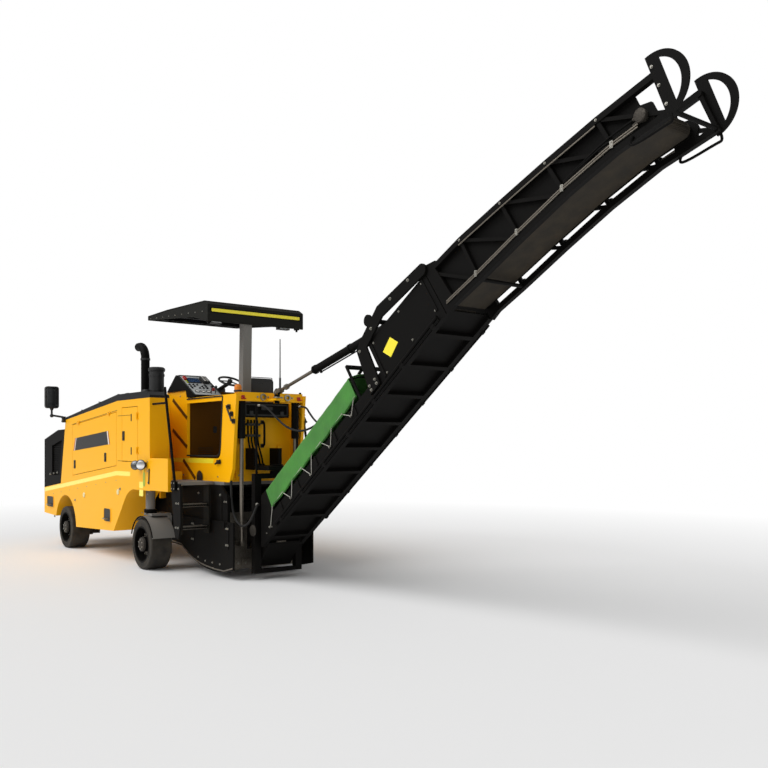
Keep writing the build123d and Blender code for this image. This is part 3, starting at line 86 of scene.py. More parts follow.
SLOPE_FOOT = (-1.6, 0.24)


def on_slope(s, h, y=0.0):
    """A point s metres up the lower conveyor's underside, h above it and y to the left."""
    return at(
        SLOPE_FOOT[0] - s * math.cos(SLOPE) + h * math.sin(SLOPE),
        y,
        SLOPE_FOOT[1] + s * math.sin(SLOPE) + h * math.cos(SLOPE),
    )


def body_line(x):
    """Height of the line between the lower body and the hood at x."""
    level, level_end, front_height, front = 1.29, 0.88, 0.925, 4.19
    if x <= level_end:
        return level
    return level + (x - level_end) / (front - level_end) * (front_height - level)


def on_roller(y, x=0.0, z=0.0):
    """A point y to the left on the head roller's axis, or x and z away from the axis."""
    return at(-7.23 + x, y, 3.985 + z)


SLOPE_UP = Vector((-math.cos(SLOPE), 0, math.sin(SLOPE)))
SLOPE_OUT = Vector((math.sin(SLOPE), 0, math.cos(SLOPE)))
SIDEWAYS = Vector((0, 1, 0))
UPWARDS = Vector((0, 0, 1))
DOWNWARDS = Vector((0, 0, -1))
FORWARDS = Vector((1, 0, 0))
REARWARDS = Vector((-1, 0, 0))
POD_REAR = -0.27
STAY_BARREL = 1.5
FRONT_FACE = 4.1878
SLAT_PITCH = 0.036
SEAT_MIDDLE = -0.185
CROSSBEAM_FACE = -1.56
REAR_WALL = -1.262


# ---- mesh tools ---------------------------------------------------------------------------
def frame_at(centre, out, up=UPWARDS):
    """A turn and place whose Z is out and whose Y is as near to up as it can be."""
    z = Vector(out).normalized()
    x = Vector(up).cross(z).normalized()
    y = z.cross(x)
    turn = Matrix((x, y, z)).transposed().to_4x4()
    return Matrix.Translation(centre) @ turn


def new_object(name, data):
    """A new object in the scene."""
    made = bpy.data.objects.new(name, data)
    bpy.context.scene.collection.objects.link(made)
    return made


def upright(centre):
    """A place whose Z points up."""
    return frame_at(centre, UPWARDS, SIDEWAYS)


def add_block(bm, low, high, place=None):
    """A box between two corners, in the place's own frame if one is given."""
    low, high = Vector(low), Vector(high)
    size = Matrix.Diagonal((*(high - low), 1.0))
    bmesh.ops.create_cube(
        bm, size=1.0, matrix=(place or Matrix()) @ Matrix.Translation((low + high) / 2) @ size
    )


def add_rod(bm, start, end, radius, far_radius=None, segments=20):
    """A round bar or cone between two points."""
    start, end = Vector(start), Vector(end)
    run = end - start
    turn = run.to_track_quat("Z", "Y").to_matrix().to_4x4()
    bmesh.ops.create_cone(
        bm,
        cap_ends=True,
        cap_tris=False,
        segments=segments,
        radius1=radius,
        radius2=radius if far_radius is None else far_radius,
        depth=run.length,
        matrix=Matrix.Translation((start + end) / 2) @ turn,
    )


def add_bar(bm, start, end, width, depth, up=UPWARDS):
    """A flat bar between two points, width across and depth along up."""
    start, end = Vector(start), Vector(end)
    length = (end - start).length
    place = frame_at(start, end - start, up)
    add_block(bm, (-width / 2, -depth / 2, 0), (width / 2, depth / 2, length), place)


def add_run(add_length, bm, points, *size, **options):
    """Rods or bars, as add_length makes them, from each point to the next."""
    for start, end in zip(points, points[1:]):
        add_length(bm, start, end, *size, **options)


def in_plane(y, places):
    """The points at (x, z) places in the upright plane at y."""
    return [at(x, y, z) for x, z in places]


def around(place, radius, count, height=0.0, first=0.0):
    """Points spaced evenly on a circle about the place's Z; first is in steps."""
    for number in range(count):
        angle = math.tau * (number + first) / count
        yield place @ Vector((radius * math.cos(angle), radius * math.sin(angle), height))


def add_side_plate(bm, side, y, thickness, *corners):
    """A plate in a side's plane from its (x, z) corners, thickened outwards."""
    add_plate(bm, in_plane(y, corners), Vector((0, side * thickness, 0)))


def add_turned(bm, profile, place, segments=40):
    """A turned shape: (height, radius) points spun about the place's Z."""
    part = bmesh.new()
    verts = [part.verts.new((radius, 0, height)) for height, radius in profile]
    edges = [part.edges.new(pair) for pair in zip(verts, verts[1:])]
    bmesh.ops.spin(
        part,
        geom=verts + edges,
        cent=(0, 0, 0),
        axis=(0, 0, 1),
        dvec=(0, 0, 0),
        angle=math.tau,
        steps=segments,
        use_merge=True,
        use_duplicate=False,
    )
    bmesh.ops.remove_doubles(part, verts=part.verts, dist=1e-6)
    bmesh.ops.transform(part, matrix=place, verts=part.verts)
    pour(part, bm)


def pour(part, bm):
    """Adds a finished small shape to a larger one."""
    mesh = bpy.data.meshes.new("pour")
    part.to_mesh(mesh)
    part.free()
    bm.from_mesh(mesh)
    bpy.data.meshes.remove(mesh)


def add_plate(bm, outline, thickness):
    """A flat plate from its corner points, thickened along a vector."""
    face = bm.faces.new([bm.verts.new(point) for point in outline])
    grown = bmesh.ops.extrude_face_region(bm, geom=[face])
    moved = [item for item in grown["geom"] if isinstance(item, bmesh.types.BMVert)]
    bmesh.ops.translate(bm, vec=thickness, verts=moved)


def add_patch(bm, centre, out, width, height, thickness, corner=0.0, up=UPWARDS, rim=0.0):
    """A thin plate with rounded corners on a face; with a rim it is only a frame that wide."""
    part = bmesh.new()
    bmesh.ops.create_grid(part, x_segments=1, y_segments=1, size=0.5)
    bmesh.ops.scale(part, vec=(width, height, 1), verts=part.verts)
    if corner:
        bmesh.ops.bevel(
            part,
            geom=part.verts[:],
            offset=corner,
            offset_type="OFFSET",
            segments=4,
            profile=0.5,
            affect="VERTICES",
            material=-1,
        )
    if rim:
        middle_faces = part.faces[:]
        bmesh.ops.inset_individual(part, faces=middle_faces, thickness=rim)
        bmesh.ops.delete(part, geom=middle_faces, context="FACES_ONLY")
    grown = bmesh.ops.extrude_face_region(part, geom=part.faces[:])
    moved = [item for item in grown["geom"] if isinstance(item, bmesh.types.BMVert)]
    bmesh.ops.translate(part, vec=(0, 0, thickness), verts=moved)
    bmesh.ops.transform(part, matrix=frame_at(centre, out, up), verts=part.verts)
    pour(part, bm)


def add_bolt(bm, centre, out, size=0.012):
    """A hexagon bolt head on its washer."""
    place = frame_at(centre, out, UPWARDS if abs(Vector(out).normalized().z) < 0.9 else SIDEWAYS)
    for radius, low, high, sides in ((1.35, 0, 0.25, 14), (0.95, 0.25, 0.95, 6)):
        bmesh.ops.create_cone(
            bm,
            cap_ends=True,
            cap_tris=False,
            segments=sides,
            radius1=size * radius,
            radius2=size * radius * 0.94,
            depth=size * (high - low),
            matrix=place @ Matrix.Translation((0, 0, size * (low + high) / 2)),
        )


def shapes(number):
    """Several empty shapes."""
    return [bmesh.new() for _ in range(number)]


def add_bolts(bm, centres, out, size):
    """The same bolt at each centre."""
    for centre in centres:
        add_bolt(bm, centre, out, size)


def both(side_maker):
    """Calls a maker for the left side and the right side."""
    for side in (1, -1):
        side_maker(side)


def finish_piece(bm, name, body, finish, edge=0.002, sharp=35):
    """Turns a bmesh into a piece with soft edges that rides on a CAD body."""
    bmesh.ops.remove_doubles(bm, verts=bm.verts, dist=1e-6)
    bmesh.ops.recalc_face_normals(bm, faces=bm.faces)
    mesh = bpy.data.meshes.new(name)
    bm.to_mesh(mesh)
    bm.free()
    mesh.shade_smooth()
    mesh.set_sharp_from_angle(angle=math.radians(sharp))
    piece = new_object(name, mesh)
    if edge:
        soften(piece, edge, 2)
    return dress(piece, body, finish)


def finish_all(body, *rows):
    """Finishes pieces of one body from rows of shape, name, finish and, if not usual, edge."""
    for bm, name, finish, *edge in rows:
        finish_piece(bm, name, body, finish, *edge)


def dress(piece, body, finish):
    """Gives a piece its material and its CAD body."""
    piece.data.materials.append(FINISHES[finish])
    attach(piece, body)
    return piece


def soften(piece, width, segments):
    """Rounds a piece's hard edges."""
    bevel = piece.modifiers.new("soft edges", "BEVEL")
    bevel.width = width
    bevel.segments = segments
    bevel.limit_method = "ANGLE"
    bevel.angle_limit = math.radians(40)
    bevel.use_clamp_overlap = True
    bevel.harden_normals = False


def make_pipe(name, points, radius, body, finish, sides=3):
    """A bent pipe or bar along smooth control points."""
    curve = bpy.data.curves.new(name, "CURVE")
    curve.dimensions = "3D"
    curve.bevel_depth = radius
    curve.bevel_resolution = sides
    curve.resolution_u = 8
    curve.use_fill_caps = True
    spline = curve.splines.new("NURBS")
    spline.points.add(len(points) - 1)
    for point, place in zip(spline.points, points):
        point.co = (*place, 1.0)
    spline.order_u = 3
    spline.use_endpoint_u = True
    return dress(new_object(name, curve), body, finish)


# ---- materials ----------------------------------------------------------------------------
def srgb(code):
    """An sRGB hex colour as linear red, green, blue and alpha."""
    values = [int(code[place : place + 2], 16) / 255 for place in (0, 2, 4)]
    return tuple(v / 12.92 if v <= 0.04045 else ((v + 0.055) / 1.055) ** 2.4 for v in values) + (1.0,)


def add(owner, kind, links=None, **settings):
    """Adds a shader node to a material or world, with its settings and its sockets' values or links."""
    tree = owner.node_tree
    node = tree.nodes.new("ShaderNode" + kind)
    for name, value in settings.items():
        setattr(node, name, value)
    for socket, value in (links or {}).items():
        if isinstance(value, bpy.types.NodeSocket):
            tree.links.new(value, node.inputs[socket])
        else:
            node.inputs[socket].default_value = value
    return node


def seen_by(owner, other):
    """1 for the camera's own rays and for one other kind, 0 for the rest."""
    rays = add(owner, "LightPath").outputs
    links = {0: rays["Is Camera Ray"], 1: rays[f"Is {other} Ray"]}
    return add(owner, "Math", links, operation="MAXIMUM").outputs[0]


class Coat:
    """A named material: a shader whose even values are set at once, and the nodes that vary it."""

    def __init__(self, name, **even):
        self.material = bpy.data.materials.new(name)
        self.material.use_nodes = True
        self.shader = self.material.node_tree.nodes["Principled BSDF"]
        for socket, value in even.items():
            socket = socket.replace("_", " ").title().replace("Ior", "IOR")
            self.shader.inputs[socket].default_value = value
        self.place = self.add("TexCoord").outputs["Object"]

    def add(self, kind, links=None, **settings):
        """Adds a node to this material."""
        return add(self.material, kind, links, **settings)

    def feed(self, socket, output):
        """Links an output to one of the shader's sockets."""
        self.material.node_tree.links.new(output, self.shader.inputs[socket])

    def noise(self, millimetres, detail, place=None):
        """Noise whose clouds are this many millimetres across."""
        place = self.place if place is None else place
        return self.add(
            "TexNoise", {"Vector": place, "Scale": 1000 / millimetres, "Detail": detail}
        ).outputs["Fac"]

    def cells(self, millimetres, **settings):
        """Distances inside cells that are this many millimetres across."""
        links = {"Vector": self.place, "Scale": 1000 / millimetres}
        return self.add("TexVoronoi", links, **settings).outputs["Distance"]

    def spread(self, value, low, high, start, end):
        """A value whose run from low to high becomes a run from start to end."""
        links = {"Value": value, "From Min": low, "From Max": high, "To Min": start, "To Max": end}
        return self.add("MapRange", links).outputs[0]

    def tint(self, share, colour, other):
        """Base colour between two sRGB hex colours."""
        mixed = self.add("Mix", {0: share, 6: srgb(colour), 7: srgb(other)}, data_type="RGBA")
        self.feed("Base Color", mixed.outputs[2])

    def bump(self, height, strength, distance, under=None):
        """Relief from a height, laid over another relief if one is given."""
        links = {"Height": height, "Strength": strength, "Distance": distance}
        if under is not None:
            links["Normal"] = under
        relief = self.add("Bump", links).outputs["Normal"]
        self.feed("Normal", relief)
        return relief


def sprayed_enamel(name, colour, dusty, roughness, dust_top, dust_share, coat=0.0):
    """Enamel sprayed on sheet steel.

    The eye sees an even colour with a faint orange peel, edges a little lighter, partly as rubbed wear
    and partly as painted highlight, and fine road dust that thins out with height.
    """
    paint = Coat(
        name, metallic=0.0, coat_weight=coat, coat_roughness=0.3, specular_ior_level=0.08 + 3 * coat
    )
    height = paint.add("SeparateXYZ", {"Vector": paint.place}).outputs["Z"]
    low = paint.spread(height, 0.1, dust_top, dust_share, 0.03)
    speck = paint.spread(paint.noise(450, 6.0), 0.35, 0.7, 0.2, 1.0)
    dust = paint.add("Math", {0: low, 1: speck}, operation="MULTIPLY").outputs[0]
    # edges turn towards the dusty colour: partly rubbed wear, partly painted highlight
    rounded = paint.add("Bevel", {"Radius": 0.006}, samples=4).outputs["Normal"]
    facing = paint.add("NewGeometry").outputs["Normal"]
    edge = paint.add("VectorMath", {0: rounded, 1: facing}, operation="DOT_PRODUCT").outputs["Value"]
    edge_wear_and_highlight = paint.spread(edge, 0.75, 0.99, 0.25, 0.0)
    total = paint.add("Math", {0: dust, 1: edge_wear_and_highlight}, operation="ADD", use_clamp=True).outputs[0]
    paint.tint(total, colour, dusty)
    paint.feed("Roughness", paint.spread(total, 0.0, 1.0, roughness, min(1.0, roughness + 0.4)))
    paint.bump(paint.noise(9, 2.0), 0.06, 0.002)
    return paint.material


def moulded_rubber(name, colour, dusty, grain, dust_share):
    """Moulded rubber: a dull dark skin with a fine grain and grey dust in its hollows."""
    rubber = Coat(name, roughness=0.82, specular_ior_level=0.35)
    rubber.tint(rubber.spread(rubber.noise(140, 7.0), 0.3, 0.75, 0.0, dust_share), colour, dusty)
    rubber.bump(rubber.noise(grain, 4.0), 0.35, 0.002)
    return rubber.material


def bare_metal(name, colour, stain, roughness, stretch, metallic=1.0):
    """Bare metal: a bright ground or cast surface with stains and fine marks."""
    metal = Coat(name, metallic=metallic)
    run = metal.add("Mapping", {"Vector": metal.place, "Scale": stretch}).outputs[0]
    marks = metal.noise(12, 5.0, run)
    metal.tint(marks, colour, stain)
    metal.feed("Roughness", metal.spread(marks, 0.0, 1.0, roughness * 0.75, min(1.0, roughness * 1.4)))
    metal.bump(marks, 0.1, 0.001)
    return metal.material


def moulded_plastic(name, colour, shade, grain, roughness):
    """Moulded plastic: an even colour under a fine leather-like grain."""
    plastic = Coat(name, roughness=roughness)
    cells = plastic.cells(grain)
    plastic.tint(cells, shade, colour)
    plastic.bump(cells, 0.2, 0.001)
    return plastic.material


def prismatic_tape(name, colour, light):
    """Retroreflective tape: bright film over a honeycomb of cells."""
    tape = Coat(name, roughness=0.35, coat_weight=0.6)
    # real cells are about 4 mm; drawn at 14 mm so that they show
    cells = tape.cells(14, feature="DISTANCE_TO_EDGE")
    tape.tint(tape.spread(cells, 0.0, 0.12, 0.0, 1.0), light, colour)
    return tape.material


def pressed_glass(name, colour, pitch):
    """Pressed lamp glass: glossy and ribbed."""
    glass = Coat(name, roughness=0.12, coat_weight=1.0)
    links = {"Vector": glass.place, "Scale": 1000 / pitch / 20, "Distortion": 0.3}
    ribs = glass.add("TexWave", links, bands_direction="Z").outputs["Fac"]
    glass.tint(ribs, "8C9094", colour)
    glass.bump(ribs, 0.3, 0.002)
    return glass.material


def coated_cloth(name, colour, shade, crease):
    """PVC-coated tarpaulin: a plain weave under a soft sheen, with shallow creases."""
    cloth = Coat(name, roughness=0.55, sheen_weight=0.15)
    # threads are 1 mm apart; drawn at 6 mm so that they show
    links = {"Vector": cloth.place, "Scale": 1000 / 6 / 4, "Mortar Size": 0.04}
    weave = cloth.add("TexBrick", links).outputs["Fac"]
    cloth.tint(cloth.spread(cloth.noise(220, 5.0), 0.3, 0.7, 0.0, 0.75), colour, shade)
    folds = cloth.bump(cloth.noise(crease, 3.0), 0.35, 0.02)
    cloth.bump(weave, 0.15, 0.0006, folds)
    return cloth.material


def instrument_glass(name, colour, glow):
    """A switched-on display: dark glass over blocks of dim colour."""
    screen = Coat(name, roughness=0.12, coat_weight=0.8)
    screen.tint(screen.cells(45, distance="CHEBYCHEV"), glow, colour)
    return screen.material


def make_finishes(amber, black, green, tape):
    """All the machine's materials, by the name that the makers use."""
    return {
        "amber": sprayed_enamel("amber enamel on sheet steel", amber, "DFA028", 0.4, 1.1, 0.08, 0.04),
        "black": sprayed_enamel("black satin enamel on steel", black, "26221C", 0.6, 1.6, 0.1),
        "grey": sprayed_enamel("grey enamel on steel plate", "7C7A76", "8A8072", 0.6, 1.3, 0.3),
        "roof": sprayed_enamel("charcoal enamel on canopy sheet", "20201D", "4A473F", 0.6, 1.2, 0.08),
        "lid": sprayed_enamel("slate enamel on hood lid", "242527", "5E5B55", 0.5, 1.2, 0.1),
        "cream": moulded_plastic("pale moulded plastic caps", "F2E6B4", "D8C88C", 6, 0.4),
        "rubber": moulded_rubber("pressed-on solid tyre rubber", "22201D", "5A5348", 5, 0.45),
        "belt": moulded_rubber("ribbed conveyor belt rubber", "1F1A12", "3A3122", 9, 0.6),
        "hose": moulded_rubber("extruded hose rubber", "151413", "3A3835", 3, 0.3),
        "cast": bare_metal("cast iron with mill scale", "5A554E", "2B2723", 0.6, (1, 1, 1), 0.7),
        "worn": bare_metal("road-worn steel", "9B958B", "5C5348", 0.45, (4, 1, 1)),
        "zinc": bare_metal("zinc-plated bolts", "B9B7AF", "8D8A80", 0.38, (1, 1, 1)),
        "plastic": moulded_plastic("black moulded plastic", "1C1C1C", "121212", 3, 0.5),
        "panel": moulded_plastic("light grey instrument panel", "C9CCCC", "B4B8B8", 2, 0.42),
        "red": moulded_plastic("red moulded plastic", "C42418", "8C150D", 4, 0.35),
        # dark brown for the painted shadow strips on the station's side walls
        "brown": sprayed_enamel("bronze enamel on painted shadow strips", "5C3A10", "7A5A2C", 0.45, 1.0, 0.2),
        "leaf": moulded_plastic("yellow-green rubber tag", "B9C63A", "8A9622", 4, 0.5),
        "orange": moulded_plastic("orange moulded plastic", "F08A12", "C4660A", 4, 0.35),
        "white": sprayed_enamel("white enamel", "E8E6E0", "A8A296", 0.4, 1.0, 0.2),
        "tape": prismatic_tape("yellow reflective tape", tape, "FFF65A"),
        "lens": pressed_glass("pressed lamp glass", "FCFDFD", 16),
        "smoked": pressed_glass("smoked lamp glass", "2A2724", 16),
        "cord": coated_cloth("braided pale lacing rope", "C4C2B8", "8E8B80", 30),
        "rung": sprayed_enamel("dark enamel on ladder steel", "14130F", "4A453C", 0.5, 1.3, 0.25),
        # amber darkened to brown: painted shade on the cabinet and its doors, which are amber paint
        "painted-shade amber": sprayed_enamel("bronze enamel on cabinet sheet", "553608", "6E4E20", 0.5, 1.0, 0.08),
        "mirror": bare_metal("silvered mirror glass", "E4E8EA", "CDD3D6", 0.04, (0.1, 0.1, 0.1)),
        "screen": instrument_glass("display behind dark glass", "10141C", "3E5E8C"),
        "cloth": coated_cloth("green coated tarpaulin", green, "286A18", 120),
        "vinyl": moulded_plastic("black seat vinyl", "232220", "151413", 5, 0.48),
    }


CAD_FINISH = {
    "amber": (
        "lower_body rear_fenders hood_shell left_engine_door right_engine_door left_service_door "
        "right_service_door station_side_walls station_rear_wall rear_crossbeam"
    ),
    # the cabinet gets the amber darkened as painted shade
    "painted-shade amber": "cabinet",
    "black": (
        "main_frame radiator_surround radiator_grilles drum_housing left_edge_plate right_edge_plate "
        "slew_bracket rear_locker slew_frame lower_conveyor_frame upper_conveyor_frame stay_swivel "
        "stay_barrel lift_barrels handrails console exhaust_stack "
        "front_left_rim front_right_rim rear_left_rim rear_right_rim"
    ),
    "grey": "rear_legs station_floor canopy_post",
    "rung": "ladders",
    "roof": "canopy_roof",
    "lid": "hood_top",
    "plastic": "air_cleaner mirrors steering_wheel operator_seat",
    "cast": "engine_block front_axle front_left_knuckle front_right_knuckle milling_drum",
    "worn": "scraper stay_rod",
    "rubber": "front_left_tyre front_right_tyre rear_left_tyre rear_right_tyre",
    "belt": "lower_belt upper_belt",
    "cloth": "belt_cover",
    "hose": "left_hose right_hose",
}
FINISHES = {}


# ---- settings -----------------------------------------------------------------------------
class PlanerColours(bpy.types.PropertyGroup):
    amber: bpy.props.StringProperty(
        name="Body colour", description="sRGB hex colour of the sheet metal", default="FFB800"
    )
    black: bpy.props.StringProperty(
        name="Frame colour", description="sRGB hex colour of frames and conveyor", default="0B0A09"
    )
    green: bpy.props.StringProperty(
        name="Cover colour", description="sRGB hex colour of the belt cover", default="37861F"
    )
    tape: bpy.props.StringProperty(
        name="Tape colour", description="sRGB hex colour of the reflective tape", default="FFEA14"
    )


class PlanerSizes(bpy.types.PropertyGroup):
    tape_height: bpy.props.FloatProperty(
        name="Tape height", description="Height of the reflective stripes", default=0.062, unit="LENGTH"
    )
    lamp_radius: bpy.props.FloatProperty(
        name="Lamp radius", description="Radius of a round work lamp", default=0.068, unit="LENGTH"
    )
    wheel_nuts: bpy.props.IntProperty(
        name="Wheel nuts", description="Nuts on each wheel", default=10, min=4, max=20
    )
    pipe_radius: bpy.props.FloatProperty(
        name="Pipe radius", description="Radius of a hydraulic pipe", default=0.011, unit="LENGTH"
    )
    lens: bpy.props.FloatProperty(
        name="Lens", description="Camera lens", default=40.6, subtype="DISTANCE_CAMERA"
    )


class PlanerOperator:
    """Shared behaviour: an operator of the machine's looks, run once from the panel."""

    bl_options = {"REGISTER", "UNDO"}

    def execute(self, context):
        """Builds this operator's pieces."""
        self.build()
        return {"FINISHED"}


class PLANER_OT_finish_frame(PlanerOperator, bpy.types.Operator):
    """Give every CAD node the finish of its material"""

    bl_idname = "planer.finish_frame"
    bl_label = "Finish frame"

    def build(self):
        colours = bpy.context.scene.planer_colours
        FINISHES.update(make_finishes(colours.amber, colours.black, colours.green, colours.tape))
        waiting = dict(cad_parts)
        for finish, names in CAD_FINISH.items():
            for name in names.split():
                node = waiting.pop(name, None)
                if node is None:
                    continue
                node.data.materials.clear()
                node.data.materials.append(FINISHES[finish])
        if waiting:
            raise RuntimeError(f"no finish for {sorted(waiting)}")


# ---- body fittings ------------------------------------------------------------------------
class PLANER_OT_add_tape(PlanerOperator, bpy.types.Operator):
    """Stick the reflective tape along the flanks, the station's sills and the canopy"""

    bl_idname = "planer.add_tape"
    bl_label = "Reflective tape"

    def build(self):
        sizes = bpy.context.scene.planer_sizes
        bm = bmesh.new()
        high = sizes.tape_height
        film = 0.0015

        def flank(side):
            y = side * FLANK
            for start, end in ((4.16, 0.88), (0.88, 0.39)):
                tops = [(x, body_line(x) - 0.012) for x in (start, end)]
                feet = [(x, z - high) for x, z in reversed(tops)]
                add_side_plate(bm, side, y, film, *tops, *feet)
            low = 1.405
            sill = (0.42, low), (-0.97, low), (-0.985, low + high), (0.42, low + high)
            add_side_plate(bm, side, STATION_FLANK * side, film, *sill)

        both(flank)
        add_patch(bm, at(-1.203, 0, 3.315), REARWARDS, 1.28, high * 0.66, film, 0.008)
        finish_piece(bm, "reflective_tape", "chassis", "tape", edge=0)
        rim = bmesh.new()
        add_patch(rim, at(-1.2, 0, 3.315), REARWARDS, 1.32, 0.062, 0.006, 0.012, rim=0.009)
        add_patch(rim, at(-1.2, 0, 3.315), REARWARDS, 1.3, 0.05, 0.003, 0.01)
        finish_piece(rim, "canopy_tape_frame", "chassis", "black")


def add_latch(bm, centre, out, width, height):
    """A flush paddle latch: rimmed pan, tilted paddle and its lock."""
    add_patch(bm, centre, out, width, height, 0.006, 0.012, rim=0.009)
    add_patch(bm, centre, out, width - 0.012, height - 0.012, 0.002, 0.008)
    place = frame_at(centre, out)
    paddle = place @ Vector((0, -height * 0.08, 0.003))
    add_patch(bm, paddle, place.to_3x3() @ Vector((0, 0.16, 1)), width * 0.56, height * 0.62, 0.006, 0.008)
    lock = place @ Vector((0, height * 0.33, 0.001))
    add_rod(bm, lock, lock + place.to_3x3() @ Vector((0, 0, 0.008)), 0.008, segments=18)


class PLANER_OT_fit_doors(PlanerOperator, bpy.types.Operator):
    """Fit the latches, the blank badges and the hinge leaves of the four doors"""

    bl_idname = "planer.fit_doors"
    bl_label = "Door fittings"

    def build(self):
        for side, word in ((1, "left"), (-1, "right")):
            self.engine_door(side, word)
            self.service_door(side, word)

    def engine_door(self, side, word):
        """Two latches and a bare badge with a red and a white slanting end."""
        out = Vector((0, side, 0))
        y = side * FLANK
        body = f"{word}_engine_door"
        latches = bmesh.new()
        for x, z in ((2.64, 1.34), (1.32, 1.463)):
            add_latch(latches, at(x, y, z), out, 0.075, 0.13)
        finish_piece(latches, f"{word}_engine_door_latches", body, "plastic", edge=0.0012)

        def slanted(bm, start, end, thickness):
            """A part of the badge between two shares of its length."""
            low = at(2.70, y, 1.55), at(1.10, y, 1.655)
            high = at(2.62, y, 1.745), at(1.17, y, 1.845)
            corners = [
                low[0].lerp(low[1], start),
                low[0].lerp(low[1], end),
                high[0].lerp(high[1], end),
                high[0].lerp(high[1], start),
            ]
            add_plate(bm, corners, out * thickness)

        badge = bmesh.new()
        slanted(badge, 0.045, 0.93, 0.003)
        finish_piece(badge, f"{word}_badge_blank", body, "plastic", edge=0.0008)
        red = bmesh.new()
        slanted(red, 0.0, 0.018, 0.003)
        slanted(red, 0.965, 0.975, 0.003)
        finish_piece(red, f"{word}_badge_red_bar", body, "red", edge=0.0008)
        white = bmesh.new()
        slanted(white, 0.024, 0.04, 0.003)
        slanted(white, 0.937, 0.96, 0.003)
        finish_piece(white, f"{word}_badge_white_bar", body, "white", edge=0.0008)

    def service_door(self, side, word):
        """One latch by the free edge and two hinge leaves."""
        out = Vector((0, side, 0))
        body = f"{word}_service_door"
        latch = bmesh.new()
        add_latch(latch, at(0.625, side * FLANK, 1.765), out, 0.078, 0.13)
        for z in (1.56, 2.01):
            add_patch(latch, at(0.35, side * FLANK, z), out, 0.028, 0.1, 0.004, 0.01)
        finish_piece(latch, f"{word}_service_door_latch", body, "plastic", edge=0.0012)


class PLANER_OT_fit_flanks(PlanerOperator, bpy.types.Operator):
    """Fit pockets, caps, plugs, seams and button heads on the lower body and the hood"""

    bl_idname = "planer.fit_flanks"
    bl_label = "Flank fittings"

    def build(self):
        rims, pockets, caps, plugs, seams = shapes(5)

        def fit(side):
            out = Vector((0, side, 0))
            y = side * FLANK
            for x, z, width, height in ((3.86, 0.70, 0.36, 0.20), (1.24, 0.64, 0.28, 0.21)):
                add_patch(rims, at(x, y, z), out, width, height, 0.008, 0.045, rim=0.014)
                # the dark plate in each pocket is painted shade, standing in for the shade inside the
                # recess
                add_patch(pockets, at(x, y, z), out, width - 0.02, height - 0.02, 0.003, 0.04)
                ring = [at(x - 0.05, y + side * 0.004, z - 0.05), at(x - 0.05, y + side * 0.05, z - 0.05)]
                ring += [at(x + 0.05, y + side * 0.05, z - 0.05), at(x + 0.05, y + side * 0.004, z - 0.05)]
                add_run(add_rod, plugs, ring, 0.009, segments=12)
            for x, z in ((2.209, 0.881), (0.823, 0.986)):
                profile = [(0, 0.0), (0, 0.04), (0.006, 0.04), (0.012, 0.034), (0.014, 0.0)]
                add_turned(caps, profile, frame_at(at(x, y, z), out), 28)
            add_bolts(plugs, in_plane(y, ((2.62, 0.785), (0.75, 1.03), (3.62, 0.47))), out, 0.016)
            for x in (3.87, 3.685, 3.50):
                z = 1.156 + (3.87 - x) * 0.09
                add_bolt(plugs, at(x, y, z), out, 0.013)
            for start, end in (
                (at(0.84, y, 2.045), at(0.33, y, 2.045)),
                (at(0.84, y, 1.42), at(0.50, y, 1.42)),
                (at(2.78, y, 1.962), at(0.86, y, 2.125)),
            ):
                add_bar(seams, start, end, 0.003, 0.005)
            for z in (1.0, 1.15, 1.3, 1.42):
                add_bolt(plugs, at(POD_REAR + 0.06, y, z), out, 0.008)
            for number in range(9):
                x = 4.1 - number * 0.4
                add_bolt(plugs, at(x, y, body_line(x) - 0.14), out, 0.006)

        both(fit)
        finish_all(
            "chassis",
            (rims, "pocket_rims", "amber"),
            (pockets, "pocket_backs", "plastic", 0.0008),
            (caps, "tank_caps", "cream", 0),
            (plugs, "flank_bolts_and_rings", "zinc", 0),
            (seams, "hood_seam_seals", "hose", 0),
        )


def add_lamp(shells, glasses, centre, out, radius, depth=0.07):
    """A round work lamp: turned shell, bezel and domed glass."""
    place = frame_at(centre, out)
    shell = [(-depth, 0), (-depth, radius * 0.35), (-depth * 0.4, radius * 0.85), (0, radius)]
    shell += [(0.012, radius), (0.014, radius * 0.9), (0.004, radius * 0.88), (0.004, 0)]
    add_turned(shells, shell, place, 36)
    glass = [(0.005, 0), (0.005, radius * 0.87), (0.012, radius * 0.86), (0.02, radius * 0.55), (0.024, 0)]
    add_turned(glasses, glass, place, 36)


